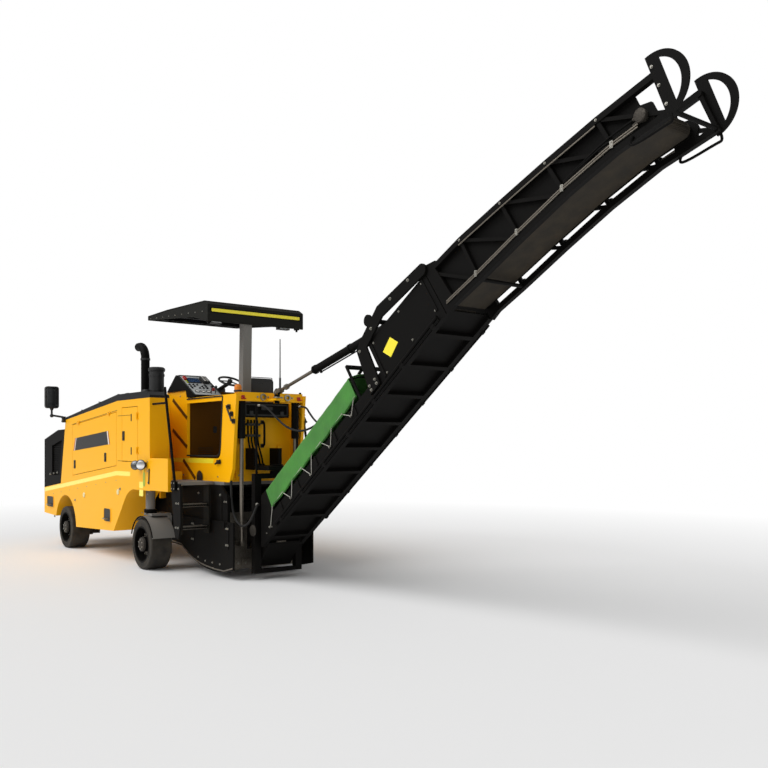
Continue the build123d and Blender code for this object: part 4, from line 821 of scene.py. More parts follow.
class PLANER_OT_fit_lamps(PlanerOperator, bpy.types.Operator):
    """Fit round lamps at the flanks' rear, lamps in the canopy and lamps on the front"""

    bl_idname = "planer.fit_lamps"
    bl_label = "Lamps"

    def build(self):
        sizes = bpy.context.scene.planer_sizes
        shells, glasses, dark = shapes(3)
        radius = sizes.lamp_radius

        def fit(side):
            out = Vector((-0.62, side * 0.78, 0.05))
            y = side * (FLANK + 0.072)
            add_lamp(shells, glasses, at(-0.157, y, 1.38), out, radius)
            add_lamp(shells, dark, at(0.03, y, 1.374), out, radius * 0.92)
            for x in (-0.157, 0.03):
                foot = at(x + 0.03, side * FLANK, 1.38)
                add_bar(shells, foot, at(x + 0.035, y, 1.38) + out * -0.04, 0.05, 0.008)
                add_patch(shells, foot, (0, side, 0), 0.09, 0.07, 0.006, 0.012)
            # work lamps under the canopy's rear edge
            lamp = at(-1.02, side * 0.5, 3.215)
            add_block(shells, lamp - Vector((0.03, 0.085, 0.04)), lamp + Vector((0.045, 0.085, 0.04)))
            add_patch(glasses, lamp - Vector((0.03, 0, 0)), REARWARDS, 0.15, 0.062, 0.004, 0.01)
            # head lamps either side of the front opening
            head = at(FRONT_FACE, side * 0.72, 0.82)
            add_patch(shells, head, FORWARDS, 0.26, 0.12, 0.0025, 0.02, rim=0.014)
            add_patch(glasses, head, FORWARDS, 0.235, 0.095, 0.0018, 0.012)

        both(fit)
        finish_all(
            "chassis",
            (shells, "lamp_shells", "plastic", 0.001),
            (glasses, "lamp_glasses", "lens", 0),
            (dark, "marker_lamp_glasses", "smoked", 0),
        )
        self.hang_strap()

    def hang_strap(self):
        """Rubber strap and oval tag below the lamps, and blank patches on each flank."""
        straps, tags, patches = shapes(3)

        def fit(side):
            y = side * (FLANK + 0.004)
            strap = in_plane(y, [(-0.262, 1.33), (-0.255, 1.25), (-0.25, 1.17), (-0.248, 1.13)])
            add_run(add_bar, straps, strap, 0.006, 0.03, FORWARDS)
            add_bolt(straps, at(-0.26, side * FLANK, 1.32), (0, side, 0), 0.012)
            add_patch(tags, at(-0.09, side * FLANK, 1.19), (0, side, 0), 0.07, 0.19, 0.004, 0.034)
            add_bar(tags, at(-0.09, y, 1.285), at(-0.09, y, 1.33), 0.004, 0.02, FORWARDS)
            for z in (1.113, 1.008):
                add_patch(patches, at(0.009, side * FLANK, z), (0, side, 0), 0.13, 0.085, 0.001, 0.01)

        both(fit)
        finish_all(
            "chassis",
            (straps, "flank_straps", "hose", 0.001),
            (tags, "oval_tags", "leaf", 0.001),
            (patches, "blank_patches", "tape", 0),
        )


class PLANER_OT_fit_grilles(PlanerOperator, bpy.types.Operator):
    """Slat the radiator's side and front openings"""

    bl_idname = "planer.fit_grilles"
    bl_label = "Grilles"

    def build(self):
        slats = bmesh.new()

        def side_slats(side):
            y = side * (FLANK - 0.03)
            foot, height, foot_rear, top_rear = 1.16, 0.565, 3.395, 3.27
            front_edge, corner, corner_height, corner_depth = 3.78, 1.63, 0.095, 0.51
            z = 1.185
            while z < 1.70:
                rear = foot_rear + (z - foot) / height * (top_rear - foot_rear)
                front = front_edge
                if z >= corner:
                    front -= (z - corner) / corner_height * corner_depth
                tilt = Vector((0, side * -0.55, 1))
                add_bar(slats, at(rear + 0.004, y, z), at(front - 0.004, y, z), 0.004, 0.034, tilt)
                z += SLAT_PITCH
            for share in (0.33, 0.66):
                x = 3.36 + share * 0.42
                add_bar(
                    slats, at(x, y - side * 0.012, 1.165), at(x, y - side * 0.012, 1.66), 0.012, 0.008,
                    SIDEWAYS,
                )

        both(side_slats)
        z = 1.085
        while z < 1.62:
            add_bar(slats, at(4.165, -0.855, z), at(4.165, 0.855, z), 0.034, 0.004, Vector((0.5, 0, 1)))
            z += SLAT_PITCH
        for y in (-0.57, -0.285, 0, 0.285, 0.57):
            add_bar(slats, at(4.15, y, 1.065), at(4.15, y, 1.625), 0.008, 0.012, FORWARDS)
        finish_piece(slats, "radiator_slats", "chassis", "black", edge=0)
        frames = bmesh.new()
        add_patch(frames, at(FRONT_FACE, 0, 1.345), FORWARDS, 1.8, 0.65, 0.002, 0.03, rim=0.03)
        for y in (-0.6, 0.6):
            add_patch(frames, at(FRONT_FACE, y, 1.69), FORWARDS, 0.3, 0.03, 0.002, 0.008)
        finish_piece(frames, "front_grille_frame", "chassis", "black")


# ---- wheels, ladders and plates -----------------------------------------------------------
class PLANER_OT_fit_wheels(PlanerOperator, bpy.types.Operator):
    """Fit hub caps, nuts, lock rings and sidewall ribs on the four wheels"""

    bl_idname = "planer.fit_wheels"
    bl_label = "Wheel fittings"

    def build(self):
        sizes = bpy.context.scene.planer_sizes
        for word, axle in (("front", FRONT_AXLE), ("rear", REAR_AXLE)):
            for side, hand in ((1, "left"), (-1, "right")):
                self.fit(f"{word}_{hand}", Vector((axle.x, side * FLANK, TYRE_RADIUS)), side, sizes)

    def fit(self, name, centre, side, sizes):
        """One wheel's fittings, all riding on that wheel."""
        place = frame_at(centre, (0, side, 0))
        body = f"{name}_wheel"
        web = -0.106
        hub = bmesh.new()
        cap = [
            (-0.03, 0), (-0.026, 0.088), (-0.02, 0.096), (0.004, 0.09), (0.014, 0.07), (0.016, 0.03),
            (0.012, 0),
        ]
        add_turned(hub, cap, place, 36)
        add_turned(hub, [(web, 0.10), (web, 0.168), (web + 0.012, 0.164), (web + 0.012, 0.10)], place, 36)
        finish_piece(hub, f"{name}_hub_cap", body, "cast", edge=0)
        nuts = bmesh.new()
        for spot in around(place, 0.136, sizes.wheel_nuts, web + 0.012):
            add_bolt(nuts, spot, (0, side, 0), 0.015)
            add_rod(nuts, spot, spot + Vector((0, side * 0.032, 0)), 0.008, segments=10)
        for spot in around(place, 0.06, 6, 0.015, 0.5):
            add_bolt(nuts, spot, (0, side, 0), 0.007)
        finish_piece(nuts, f"{name}_wheel_nuts", body, "zinc", edge=0)
        ring = bmesh.new()
        lock = [
            (-0.012, 0.219), (0.001, 0.221), (0.004, 0.227), (0.004, 0.234), (0.0, 0.24), (-0.012, 0.24)
        ]
        add_turned(ring, lock, place, 64)
        finish_piece(ring, f"{name}_lock_ring", body, "black", edge=0)
        ribs = bmesh.new()
        for radius in (0.252, 0.272):
            rib = [
                (-0.004, radius - 0.004), (0.0025, radius - 0.002), (0.0025, radius + 0.002),
                (-0.004, radius + 0.004),
            ]
            add_turned(ribs, rib, place, 72)
        finish_piece(ribs, f"{name}_sidewall_ribs", body, "rubber", edge=0)


class PLANER_OT_fit_ladders(PlanerOperator, bpy.types.Operator):
    """Fit grip treads, stile plates, mudguard caps, leg bolts and handrail feet"""

    bl_idname = "planer.fit_ladders"
    bl_label = "Ladders and mudguards"

    def build(self):
        plates, treads, bolts = shapes(3)

        def fit(side):
            for z in (0.905, 0.63):
                low, high = sorted((side * 0.642, side * 0.963))
                for x in (-1.08, -0.952):
                    add_block(treads, at(x, low, z - 0.03), at(x + 0.012, high, z + 0.008))
                for row in range(3):
                    for column in range(8):
                        spot = at(-1.05 + row * 0.04, side * (0.66 + column * 0.04), z)
                        add_turned(
                            treads, [(0, 0.013), (0.005, 0.011), (0.005, 0.006), (0, 0.005)], upright(spot),
                            12,
                        )
            # bolted plate that hangs the ladder beside the rear wheel
            y = side * 0.988
            corners = (
                (-0.80, 1.16), (-1.08, 1.16), (-1.09, 0.66),
                (-1.02, 0.48), (-0.93, 0.50), (-0.86, 0.80),
            )
            add_side_plate(plates, side, y, 0.012, *corners)
            spots = (-0.97, 0.92), (-1.03, 0.92), (-0.96, 0.62), (-1.02, 0.62), (-0.9, 1.1), (-1.03, 1.1)
            add_bolts(bolts, in_plane(side, spots), (0, side, 0), 0.011)
            # foot of the handrail
            add_patch(plates, at(-0.937, side * 1.025, 1.135), (0, side, 0), 0.11, 0.13, 0.008, 0.02)
            add_bolts(
                bolts, in_plane(side * 1.033, ((-0.97, 1.17), (-0.905, 1.17), (-0.97, 1.1), (-0.905, 1.1))),
                (0, side, 0), 0.007,
            )
            # capped rim of the mudguard
            for degrees in range(10, 170, 8):
                self.guard_bead(plates, side, degrees)
            for x in (-0.02, 0.10):
                for y in (0.80, 0.90, 1.0):
                    add_bolt(bolts, at(x, side * y, 0.735), UPWARDS, 0.009)
            add_turned(
                plates,
                [(0, 0.075), (0.02, 0.085), (0.05, 0.085), (0.055, 0.066)],
                upright(at(0.04, side * 0.9075, 0.735)),
                32,
            )

        both(fit)
        finish_all(
            "chassis",
            (plates, "ladder_plates_and_guard_beads", "black"),
            (treads, "ladder_tread_grips", "worn", 0),
            (bolts, "ladder_and_guard_bolts", "zinc", 0),
        )

    def guard_bead(self, bm, side, degrees):
        """One length of the bead along the mudguard's outer edge."""
        ends = []
        for step in (degrees, degrees + 8):
            angle = math.radians(step)
            reach = TYRE_RADIUS + 0.036
            place = at(
                reach * math.cos(angle), side * (FLANK - 0.003), TYRE_RADIUS + reach * math.sin(angle)
            )
            ends.append(place)
        if min(end.z for end in ends) > 0.44 and max(end.z for end in ends) < 0.72:
            add_rod(bm, *ends, 0.009, segments=10)


class PLANER_OT_fit_housing(PlanerOperator, bpy.types.Operator):
    """Fit the bolts, ribs and wear skids of the drum housing, edge plates and scraper"""

    bl_idname = "planer.fit_housing"
    bl_label = "Housing and edge plates"

    def build(self):
        for side, word in ((1, "left"), (-1, "right")):
            self.edge_plate(side, word)
        ribs, bolts = shapes(2)

        def fit(side):
            for x in (-1.40, 0.30):
                add_bar(ribs, at(x, side * 0.542, 0.72), at(x, side * 0.542, 1.04), 0.05, 0.01, SIDEWAYS)
            # above the edge plate's highest place, because it passes closer than a bolt head
            for x in (-1.41, -1.36):
                add_bolt(bolts, at(x, side * 0.545, 0.94), (0, side, 0), 0.011)
            for x in (-1.25, -0.95, -0.65, 0.0, 0.2):
                add_bolt(bolts, at(x, side * 0.545, 1.02), (0, side, 0), 0.012)

        both(fit)
        finish_piece(ribs, "housing_ribs", "chassis", "black")
        finish_piece(bolts, "housing_bolts", "chassis", "zinc", edge=0)
        self.scraper_edge()

    def edge_plate(self, side, word):
        """Skid along the foot, stiffening ribs, lifting eyes and bolts of one edge plate."""
        body = f"{word}_edge_plate"
        y = side * 0.576
        skid = bmesh.new()
        foot = [
            (-1.63, 0.14), (-1.4, 0.084), (-1.15, 0.086), (-0.9, 0.1), (-0.65, 0.135), (-0.42, 0.20),
            (-0.2, 0.312), (0.27, 0.338),
        ]
        line = [at(x, side * 0.567, z + 0.012) for x, z in foot]
        add_run(add_bar, skid, line, 0.026, 0.016)
        finish_piece(skid, f"{word}_edge_plate_skid", body, "worn", edge=0.0015)
        fittings = bmesh.new()
        for x in (-1.5, -0.55, 0.12):
            add_patch(fittings, at(x, y, 0.52), (0, side, 0), 0.07, 0.3, 0.008, 0.015)
        for x in (-1.45, 0.1):
            for gap in (-0.02, 0.02):
                add_patch(fittings, at(x + gap, y, 0.655), (0, side, 0), 0.012, 0.08, 0.014, 0.004)
        finish_piece(fittings, f"{word}_edge_plate_ribs", body, "black")
        bolts = bmesh.new()
        for x in (-1.52, -1.48, -0.57, -0.53, 0.10, 0.14):
            for z in (0.42, 0.62):
                add_bolt(bolts, at(x, y + side * 0.008, z), (0, side, 0), 0.011)
        for x in (-1.3, -1.1, -0.9, -0.7):
            add_bolt(bolts, at(x, y, 0.17 if x < -0.8 else 0.2), (0, side, 0), 0.01)
        finish_piece(bolts, f"{word}_edge_plate_bolts", body, "zinc", edge=0)

    def scraper_edge(self):
        """Bolted segments of the scraper's edge."""
        edge, bolts = shapes(2)
        for number in range(5):
            y = -0.4 + number * 0.2
            add_patch(edge, at(-1.34, y, 0.16), REARWARDS, 0.192, 0.12, 0.014, 0.006)
            for gap in (-0.05, 0.05):
                add_bolt(bolts, at(-1.354, y + gap, 0.17), REARWARDS, 0.012)
        finish_piece(edge, "scraper_edge_segments", "scraper", "worn")
        finish_piece(bolts, "scraper_bolts", "scraper", "zinc", edge=0)


# ---- operator station ---------------------------------------------------------------------
class PLANER_OT_fit_station(PlanerOperator, bpy.types.Operator):
    """Fit the station's painted shadow strips, edge seals, hooks, locker front, brackets and aerial"""

    bl_idname = "planer.fit_station"
    bl_label = "Station fittings"

    def build(self):
        bars, seals, hooks, brackets, bolts = shapes(5)

        def fit(side):
            y = side * (STATION_FLANK + 0.004)
            out = Vector((0, side, 0))
            # dark strips lying flat on the side wall: painted shadows cast by the handrails
            for ends in (
                ((0.233, 2.26), (-0.21, 2.0)),
                ((0.233, 1.847), (-0.21, 1.613)),
                ((-0.10, 1.44), (-0.46, 1.2)),
            ):
                add_bar(bars, *in_plane(y, ends), 0.01, 0.045, DOWNWARDS)
            # rubber edging around the side opening
            loop = [
                (-1.17, 1.59), (-1.23, 2.25), (-0.21, 2.25), (-0.21, 1.50), (-1.08, 1.50), (-1.142, 1.526)
            ]
            seal = in_plane(y - side * 0.002, loop + loop[:1])
            add_run(add_bar, seals, seal, 0.014, 0.018, DOWNWARDS)
            # latch hooks on the corner post
            for x, z in ((-1.40, 2.11), (-1.47, 2.02), (-1.52, 1.93)):
                add_patch(hooks, at(x, side * STATION_FLANK, z), out, 0.07, 0.06, 0.014, 0.012)
                add_rod(hooks, at(x, y, z), at(x - 0.01, y + side * 0.045, z + 0.01), 0.012, segments=12)
            add_rod(
                hooks, at(-1.40, y + side * 0.035, 2.11), at(-1.53, y + side * 0.035, 1.93), 0.011,
                segments=12,
            )
            # floor latch and corner pivot
            add_patch(hooks, at(-1.131, side * STATION_FLANK, 1.427), out, 0.10, 0.05, 0.016, 0.015)
            add_rod(
                hooks, at(-1.07, y + side * 0.02, 1.40), at(-1.20, y + side * 0.02, 1.45), 0.012,
                segments=12,
            )
            add_bolts(
                bolts,
                in_plane(
                    side * STATION_FLANK,
                    ((0.37, 1.24), (-0.1, 1.24), (-0.6, 1.24), (-1.1, 1.24), (0.37, 2.3), (0.0, 2.3)),
                ),
                out, 0.009,
            )
            # dark arch where the floor's lamp cable passes
            add_turned(
                hooks, [(0, 0.05), (0.012, 0.085), (0.016, 0.06), (0.016, 0.0)],
                frame_at(at(-0.6, side * STATION_FLANK, 1.225), out), 28,
            )

        both(fit)
        # brackets on the rear wall
        for y, z in ((-0.19, 1.395), (-0.29, 1.575)):
            add_patch(brackets, at(-1.26, y, z), REARWARDS, 0.07, 0.12, 0.03, 0.01)
        for y in (-0.34, 0.30):
            add_patch(brackets, at(-1.26, y, 1.26), REARWARDS, 0.09, 0.09, 0.025, 0.012)
        for y in (-0.34, 0.30, -0.1):
            add_bolt(bolts, at(-1.285 if y != -0.1 else -1.26, y, 1.26), REARWARDS, 0.012)
        # locker front with lid seam, handle and hinges
        front = -1.44
        add_patch(hooks, at(front, 0, 2.08), REARWARDS, 0.62, 0.15, 0.012, 0.012, rim=0.018)
        add_patch(hooks, at(front, 0, 2.10), REARWARDS, 0.16, 0.04, 0.02, 0.01)
        for y in (-0.22, 0.22):
            add_patch(hooks, at(front, y, 2.035), REARWARDS, 0.05, 0.06, 0.016, 0.008)
        finish_all(
            "chassis",
            (bars, "station_braces", "brown"),
            (seals, "station_opening_seals", "hose", 0.002),
            (hooks, "station_hooks_and_locker_trim", "plastic", 0.0015),
            (brackets, "rear_wall_brackets", "amber"),
            (bolts, "station_bolts", "zinc", 0),
        )
        self.fit_crossbeam()
        self.fit_aerial()

    def fit_crossbeam(self):
        """Eyes and couplings on the rear crossbeam."""
        rings, ends = shapes(2)
        for y in (0.12, -0.23):
            ring = [(0, 0.022), (0, 0.045), (0.018, 0.042), (0.018, 0.024)]
            add_turned(rings, ring, frame_at(at(CROSSBEAM_FACE, y, 2.235), REARWARDS), 28)
            for gap in (-0.075, 0.075):
                add_bolt(rings, at(CROSSBEAM_FACE, y + gap, 2.235), REARWARDS, 0.01)
        for y in (0.40, -0.40):
            add_patch(ends, at(CROSSBEAM_FACE, y, 2.225), REARWARDS, 0.045, 0.05, 0.01, 0.008)
            for gap in (-0.018, 0.018):
                spot = at(CROSSBEAM_FACE - 0.01, y + gap, 2.215)
                add_rod(ends, spot, spot + Vector((-0.03, 0, -0.008)), 0.009, segments=16)
        finish_piece(rings, "crossbeam_eyes", "chassis", "zinc", edge=0)
        finish_piece(ends, "crossbeam_couplings", "chassis", "red", edge=0.001)

    def fit_aerial(self):
        """Aerial and warning dome on the crossbeam."""
        dome, base, mast = shapes(3)
        spot = at(-1.51, 0.44, 2.29)
        up = upright(spot)
        add_turned(base, [(0, 0), (0, 0.052), (0.022, 0.05), (0.026, 0.04), (0.026, 0)], up, 32)
        profile = [(0.024, 0.045), (0.065, 0.045), (0.085, 0.036), (0.094, 0.018), (0.096, 0)]
        add_turned(dome, profile, up, 32)
        finish_piece(dome, "warning_dome", "chassis", "orange", edge=0)
        foot = at(-1.51, -0.157, 2.29)
        up = upright(foot)
        add_turned(base, [(0, 0), (0, 0.03), (0.03, 0.026), (0.05, 0.014), (0.2, 0.013), (0.2, 0)], up, 24)
        add_rod(mast, foot + Vector((0, 0, 0.19)), foot + Vector((0, 0, 0.69)), 0.008, 0.006, segments=12)
        finish_piece(base, "dome_and_aerial_bases", "chassis", "plastic", edge=0.001)
        finish_piece(mast, "aerial", "chassis", "plastic", edge=0)


class PLANER_OT_fit_console(PlanerOperator, bpy.types.Operator):
    """Lay out the instrument console: panel, display, keys, dials, levers and side box"""

    bl_idname = "planer.fit_console"
    bl_label = "Console"

    def build(self):
        top, foot = at(0.07, 0.31, 2.59), at(-0.48, 0.31, 2.285)
        down = (foot - top).normalized()
        out = Vector((down.z, 0, -down.x))
        place = frame_at(top, out, -down)
        length = (foot - top).length

        def spot(across, along, lift=0.0):
            """A point on the slope: metres to the left of its middle and down from its top."""
            return place @ Vector((-across, -along, lift))

        def turn(bm, profile, across, along, segments):
            """A turned part on the slope."""
            add_turned(bm, profile, frame_at(spot(across, along), out, -down), segments)

        panel, screen, keys, red, green, dials, knobs, frame_trim = shapes(8)
        add_patch(panel, spot(0, length / 2), out, 0.38, length - 0.05, 0.006, 0.02, -down)
        add_patch(frame_trim, spot(0, length / 2), out, 0.41, length - 0.02, 0.012, 0.03, -down, rim=0.014)
        add_patch(frame_trim, spot(0.04, 0.17), out, 0.2, 0.15, 0.014, 0.01, -down)
        add_patch(screen, spot(0.04, 0.17, 0.0135), out, 0.17, 0.12, 0.002, 0.006, -down)
        add_patch(frame_trim, spot(-0.12, 0.17), out, 0.1, 0.17, 0.045, 0.012, -down)
        for row in range(4):
            for column in range(2):
                add_patch(
                    keys, spot(-0.10 - column * 0.04, 0.11 + row * 0.04, 0.044), out, 0.026, 0.022, 0.006,
                    0.005, -down,
                )
        for row in range(3):
            for column in range(5):
                if (row + column) % 4 != 3:
                    knob = 0.15 - column * 0.055, 0.30 + row * 0.05
                    add_rod(knobs, spot(*knob, 0.004), spot(*knob, 0.022), 0.012, 0.009, 18)
                    add_rod(knobs, spot(*knob, 0.004), spot(*knob, 0.009), 0.018, segments=18)
        for across, along in ((0.15, 0.10), (0.15, 0.145), (-0.13, 0.45)):
            turn(
                red, [(0.004, 0.02), (0.018, 0.02), (0.03, 0.024), (0.036, 0.02), (0.037, 0)], across,
                along, 24,
            )
        for across, along in ((0.15, 0.19), (0.15, 0.235)):
            turn(green, [(0.004, 0.014), (0.014, 0.014), (0.017, 0.008), (0.018, 0)], across, along, 20)
        for across in (0.12, 0.04, -0.04):
            ring = [(0.004, 0.034), (0.014, 0.034), (0.016, 0.029), (0.010, 0.028)]
            turn(frame_trim, ring, across, 0.50, 28)
            turn(dials, [(0.008, 0.0285), (0.011, 0.0285), (0.011, 0)], across, 0.50, 28)
        for across in (-0.06, -0.12):
            lever = spot(across, 0.55)
            add_rod(knobs, lever, lever + Vector((-0.02, 0, 0.08)), 0.006, segments=12)
            add_turned(
                knobs, [(0, 0), (0.006, 0.014), (0.02, 0.02), (0.034, 0.014), (0.04, 0)],
                frame_at(lever + Vector((-0.02, 0, 0.075)), (-0.2, 0, 1)), 18,
            )
        finish_all(
            "chassis",
            (panel, "instrument_panel", "panel", 0.001),
            (screen, "display", "screen", 0),
            (keys, "panel_keys", "white", 0.0008),
            (red, "red_buttons", "red", 0),
            (green, "green_buttons", "leaf", 0),
            (dials, "dial_faces", "white", 0),
            (knobs, "knobs_and_levers", "plastic", 0),
            (frame_trim, "panel_frames", "plastic", 0.001),
        )
        self.fit_sides()

    def fit_sides(self):
        """Vented doors with latches on the cabinet below the console."""
        trim, slots = shapes(2)
        for y in (-0.23, 0.23):
            add_patch(trim, at(-0.2, y, 1.75), REARWARDS, 0.4, 0.9, 0.006, 0.02)
            for number in range(7):
                add_patch(slots, at(-0.206, y, 1.42 + number * 0.03), REARWARDS, 0.22, 0.008, 0.003, 0.003)
            add_latch(slots, at(-0.206, y + (0.14 if y < 0 else -0.14), 1.85), REARWARDS, 0.05, 0.09)
        # the cabinet doors also carry the painted shade
        finish_piece(trim, "cabinet_doors", "chassis", "painted-shade amber")
        finish_piece(slots, "cabinet_vents_and_latches", "chassis", "plastic", edge=0.001)


class PLANER_OT_sew_seat(PlanerOperator, bpy.types.Operator):
    """Sew the padded seat and stand it on its bellows and plinth"""

    bl_idname = "planer.sew_seat"
    bl_label = "Seat"

    def build(self):
        back = self.pad(
            "seat_back_pad", at(-0.985, SEAT_MIDDLE - 0.19, 1.915), at(-0.90, SEAT_MIDDLE + 0.19, 2.53),
            0.02,
        )
        cushion = self.pad(
            "seat_cushion_pad", at(-0.915, SEAT_MIDDLE - 0.195, 1.79),
            at(-0.53, SEAT_MIDDLE + 0.195, 1.885), 0.02,
        )
        base = bmesh.new()
        add_patch(base, at(-0.995, SEAT_MIDDLE, 2.215), FORWARDS, 0.36, 0.6, 0.012, 0.05)
        add_patch(base, at(-0.725, SEAT_MIDDLE, 1.765), UPWARDS, 0.36, 0.37, 0.022, 0.03, SIDEWAYS)
        for gap in (-0.15, 0.15):
            hinge = at(-0.955, SEAT_MIDDLE + gap, 1.80)
            add_bar(base, hinge + Vector((0.12, 0, -0.02)), hinge, 0.014, 0.05)
            add_bar(base, hinge, hinge + Vector((-0.03, 0, 0.16)), 0.014, 0.05, FORWARDS)
        for level in range(7):
            low = 1.42 + level * 0.05
            add_patch(base, at(-0.75, SEAT_MIDDLE, low), UPWARDS, 0.23, 0.25, 0.025, 0.03, SIDEWAYS)
            add_patch(base, at(-0.75, SEAT_MIDDLE, low + 0.025), UPWARDS, 0.19, 0.21, 0.025, 0.03, SIDEWAYS)
        add_block(base, at(-0.87, SEAT_MIDDLE - 0.11, 1.182), at(-0.63, SEAT_MIDDLE + 0.11, 1.42))
        frame_piece = finish_piece(base, "seat_frame_and_bellows", "chassis", "plastic")
        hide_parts("operator_seat")
        lever = bmesh.new()
        add_rod(
            lever, at(-0.80, SEAT_MIDDLE + 0.12, 1.74), at(-0.60, SEAT_MIDDLE + 0.185, 1.735), 0.007,
            segments=12,
        )
        add_rod(
            lever, at(-0.63, SEAT_MIDDLE + 0.175, 1.736), at(-0.57, SEAT_MIDDLE + 0.19, 1.735), 0.012,
            segments=14,
        )
        finish_piece(lever, "seat_lever", "chassis", "red", edge=0)

    def pad(self, name, low, high, corner):
        """A stuffed pad, blown up a little inside its sewn cover."""
        bm = bmesh.new()
        add_block(bm, low, high)
        bmesh.ops.bevel(
            bm, geom=bm.edges[
                :
            ], offset=corner, offset_type="OFFSET", segments=4, profile=0.5, affect="EDGES", material=-1
        )
        piece = finish_piece(bm, name, "chassis", "vinyl", edge=0)
        self.seam(name, low, high, corner)
        remesh = piece.modifiers.new("even faces", "REMESH")
        remesh.mode = "VOXEL"
        remesh.voxel_size = 0.012
        cover = piece.modifiers.new("stuffing", "CLOTH")
        cover.settings.use_pressure = True
        cover.settings.uniform_pressure_force = 4
        cover.settings.tension_stiffness = 40
        cover.settings.effector_weights.gravity = 0
        cover.point_cache.frame_start = 1
        cover.point_cache.frame_end = 20
        start = bpy.context.scene.frame_current
        for number in range(1, 21):
            bpy.context.scene.frame_set(number)
            bpy.context.view_layer.update()
        plump = self.applied(piece)
        bpy.context.scene.frame_set(start)
        # the cover may not swell past the room that the seat has
        swell = 0.012
        for vert in plump.vertices:
            for axis in range(3):
                vert.co[axis] = min(max(vert.co[axis], low[axis] - swell), high[axis] + swell)
        piece.modifiers.clear()
        piece.data = plump
        plump.shade_smooth()
        return piece

    def applied(self, piece):
        """The piece's mesh with its modifiers applied."""
        graph = bpy.context.evaluated_depsgraph_get()
        return bpy.data.meshes.new_from_object(
            piece.evaluated_get(graph), preserve_all_data_layers=True, depsgraph=graph
        )

    def seam(self, name, low, high, corner):
        """Piping around the pad's widest line."""
        flat = min(range(3), key=lambda axis: (high - low)[axis])
        others = [axis for axis in range(3) if axis != flat]
        corners = []
        for first, second in ((0, 0), (1, 0), (1, 1), (0, 1)):
            point = (low + high) / 2
            point[others[0]] = (low, high)[first][others[0]]
            point[others[1]] = (low, high)[second][others[1]]
            corners.append(point)
        points = []
        for number, point in enumerate(corners):
            for other in (corners[number - 1], corners[(number + 1) % 4]):
                points.append(point + (other - point).normalized() * corner * 1.6)
            points.insert(len(points) - 1, point)
        middle = (points[0] + points[-1]) / 2
        make_pipe(name + "_piping", [middle, *points, middle], 0.005, "chassis", "vinyl")


# ---- canopy, mirrors and hood -------------------------------------------------------------
class PLANER_OT_fit_canopy(PlanerOperator, bpy.types.Operator):
    """Fit the canopy's ribs, edge beads and bolts"""

    bl_idname = "planer.fit_canopy"
    bl_label = "Canopy fittings"

    def build(self):
        ribs, beads, bolts = shapes(3)
        for x in (-0.86, -0.46, -0.06, 0.32):
            add_bar(ribs, at(x, -0.655, 3.383), at(x, 0.655, 3.383), 0.035, 0.05)
        add_patch(ribs, at(-1.05, 0.12, 3.392), DOWNWARDS, 0.3, 0.3, 0.012, 0.02, SIDEWAYS)
        for gap in (-0.068, 0.068):
            corners = [
                at(-1.12, 0.12 + gap, 3.39), at(-0.92, 0.12 + gap, 3.39), at(-1.095, 0.12 + gap, 3.19)
            ]
            add_plate(ribs, corners, Vector((0, math.copysign(0.008, gap), 0)))

        def fit(side):
            y = side * 0.69
            rim = [
                (-1.2, 3.18), (-0.8, 3.27), (0.63, 3.39), (0.63, 3.44), (0.0, 3.45), (-1.11, 3.43),
                (-1.2, 3.38), (-1.2, 3.18),
            ]
            add_run(add_rod, beads, in_plane(y, rim), 0.007, segments=10)
            for number in range(9):
                x = -1.05 + number * 0.2
                add_bolt(bolts, at(x, y, 3.30 + (x + 1.2) * 0.055), (0, side, 0), 0.007)
            # cable clip and socket below the rear corner
            add_patch(ribs, at(-1.13, side * 0.64, 3.2), DOWNWARDS, 0.07, 0.05, 0.03, 0.01, SIDEWAYS)
            add_rod(ribs, at(-1.13, side * 0.64, 3.17), at(-1.13, side * 0.64, 3.145), 0.014, segments=16)

        both(fit)
        for x, z in ((-1.2, 3.18), (-1.2, 3.38), (-1.11, 3.43), (0.63, 3.44), (0.63, 3.39)):
            add_rod(beads, at(x, -0.69, z), at(x, 0.69, z), 0.007, segments=10)
        finish_all(
            "chassis",
            (ribs, "canopy_ribs", "black"),
            (beads, "canopy_edge_beads", "roof", 0),
            (bolts, "canopy_bolts", "zinc", 0),
        )


class PLANER_OT_fit_mirrors(PlanerOperator, bpy.types.Operator):
    """Fit the mirrors' glasses, rims and knuckles"""

    bl_idname = "planer.fit_mirrors"
    bl_label = "Mirror fittings"

    def build(self):
        glass, trim = shapes(2)

        def fit(side):
            y = side * 1.23
            add_patch(glass, at(3.175, y, 2.40), REARWARDS, 0.18, 0.32, 0.003, 0.034)
            add_patch(trim, at(3.175, y, 2.40), REARWARDS, 0.204, 0.344, 0.008, 0.04, rim=0.013)
            for z in (2.222, 2.108):
                ball = [(-0.03, 0), (-0.022, 0.022), (0, 0.031), (0.022, 0.022), (0.03, 0)]
                add_turned(trim, ball, upright(at(3.205, y, z)), 20)
            for z in (2.02, 2.075):
                add_bolt(trim, at(3.12, side * 1.095, z), (0, side, 0), 0.01)

        both(fit)
        finish_piece(glass, "mirror_glasses", "chassis", "mirror", edge=0.001)
        finish_piece(trim, "mirror_rims_and_knuckles", "chassis", "plastic", edge=0.001)


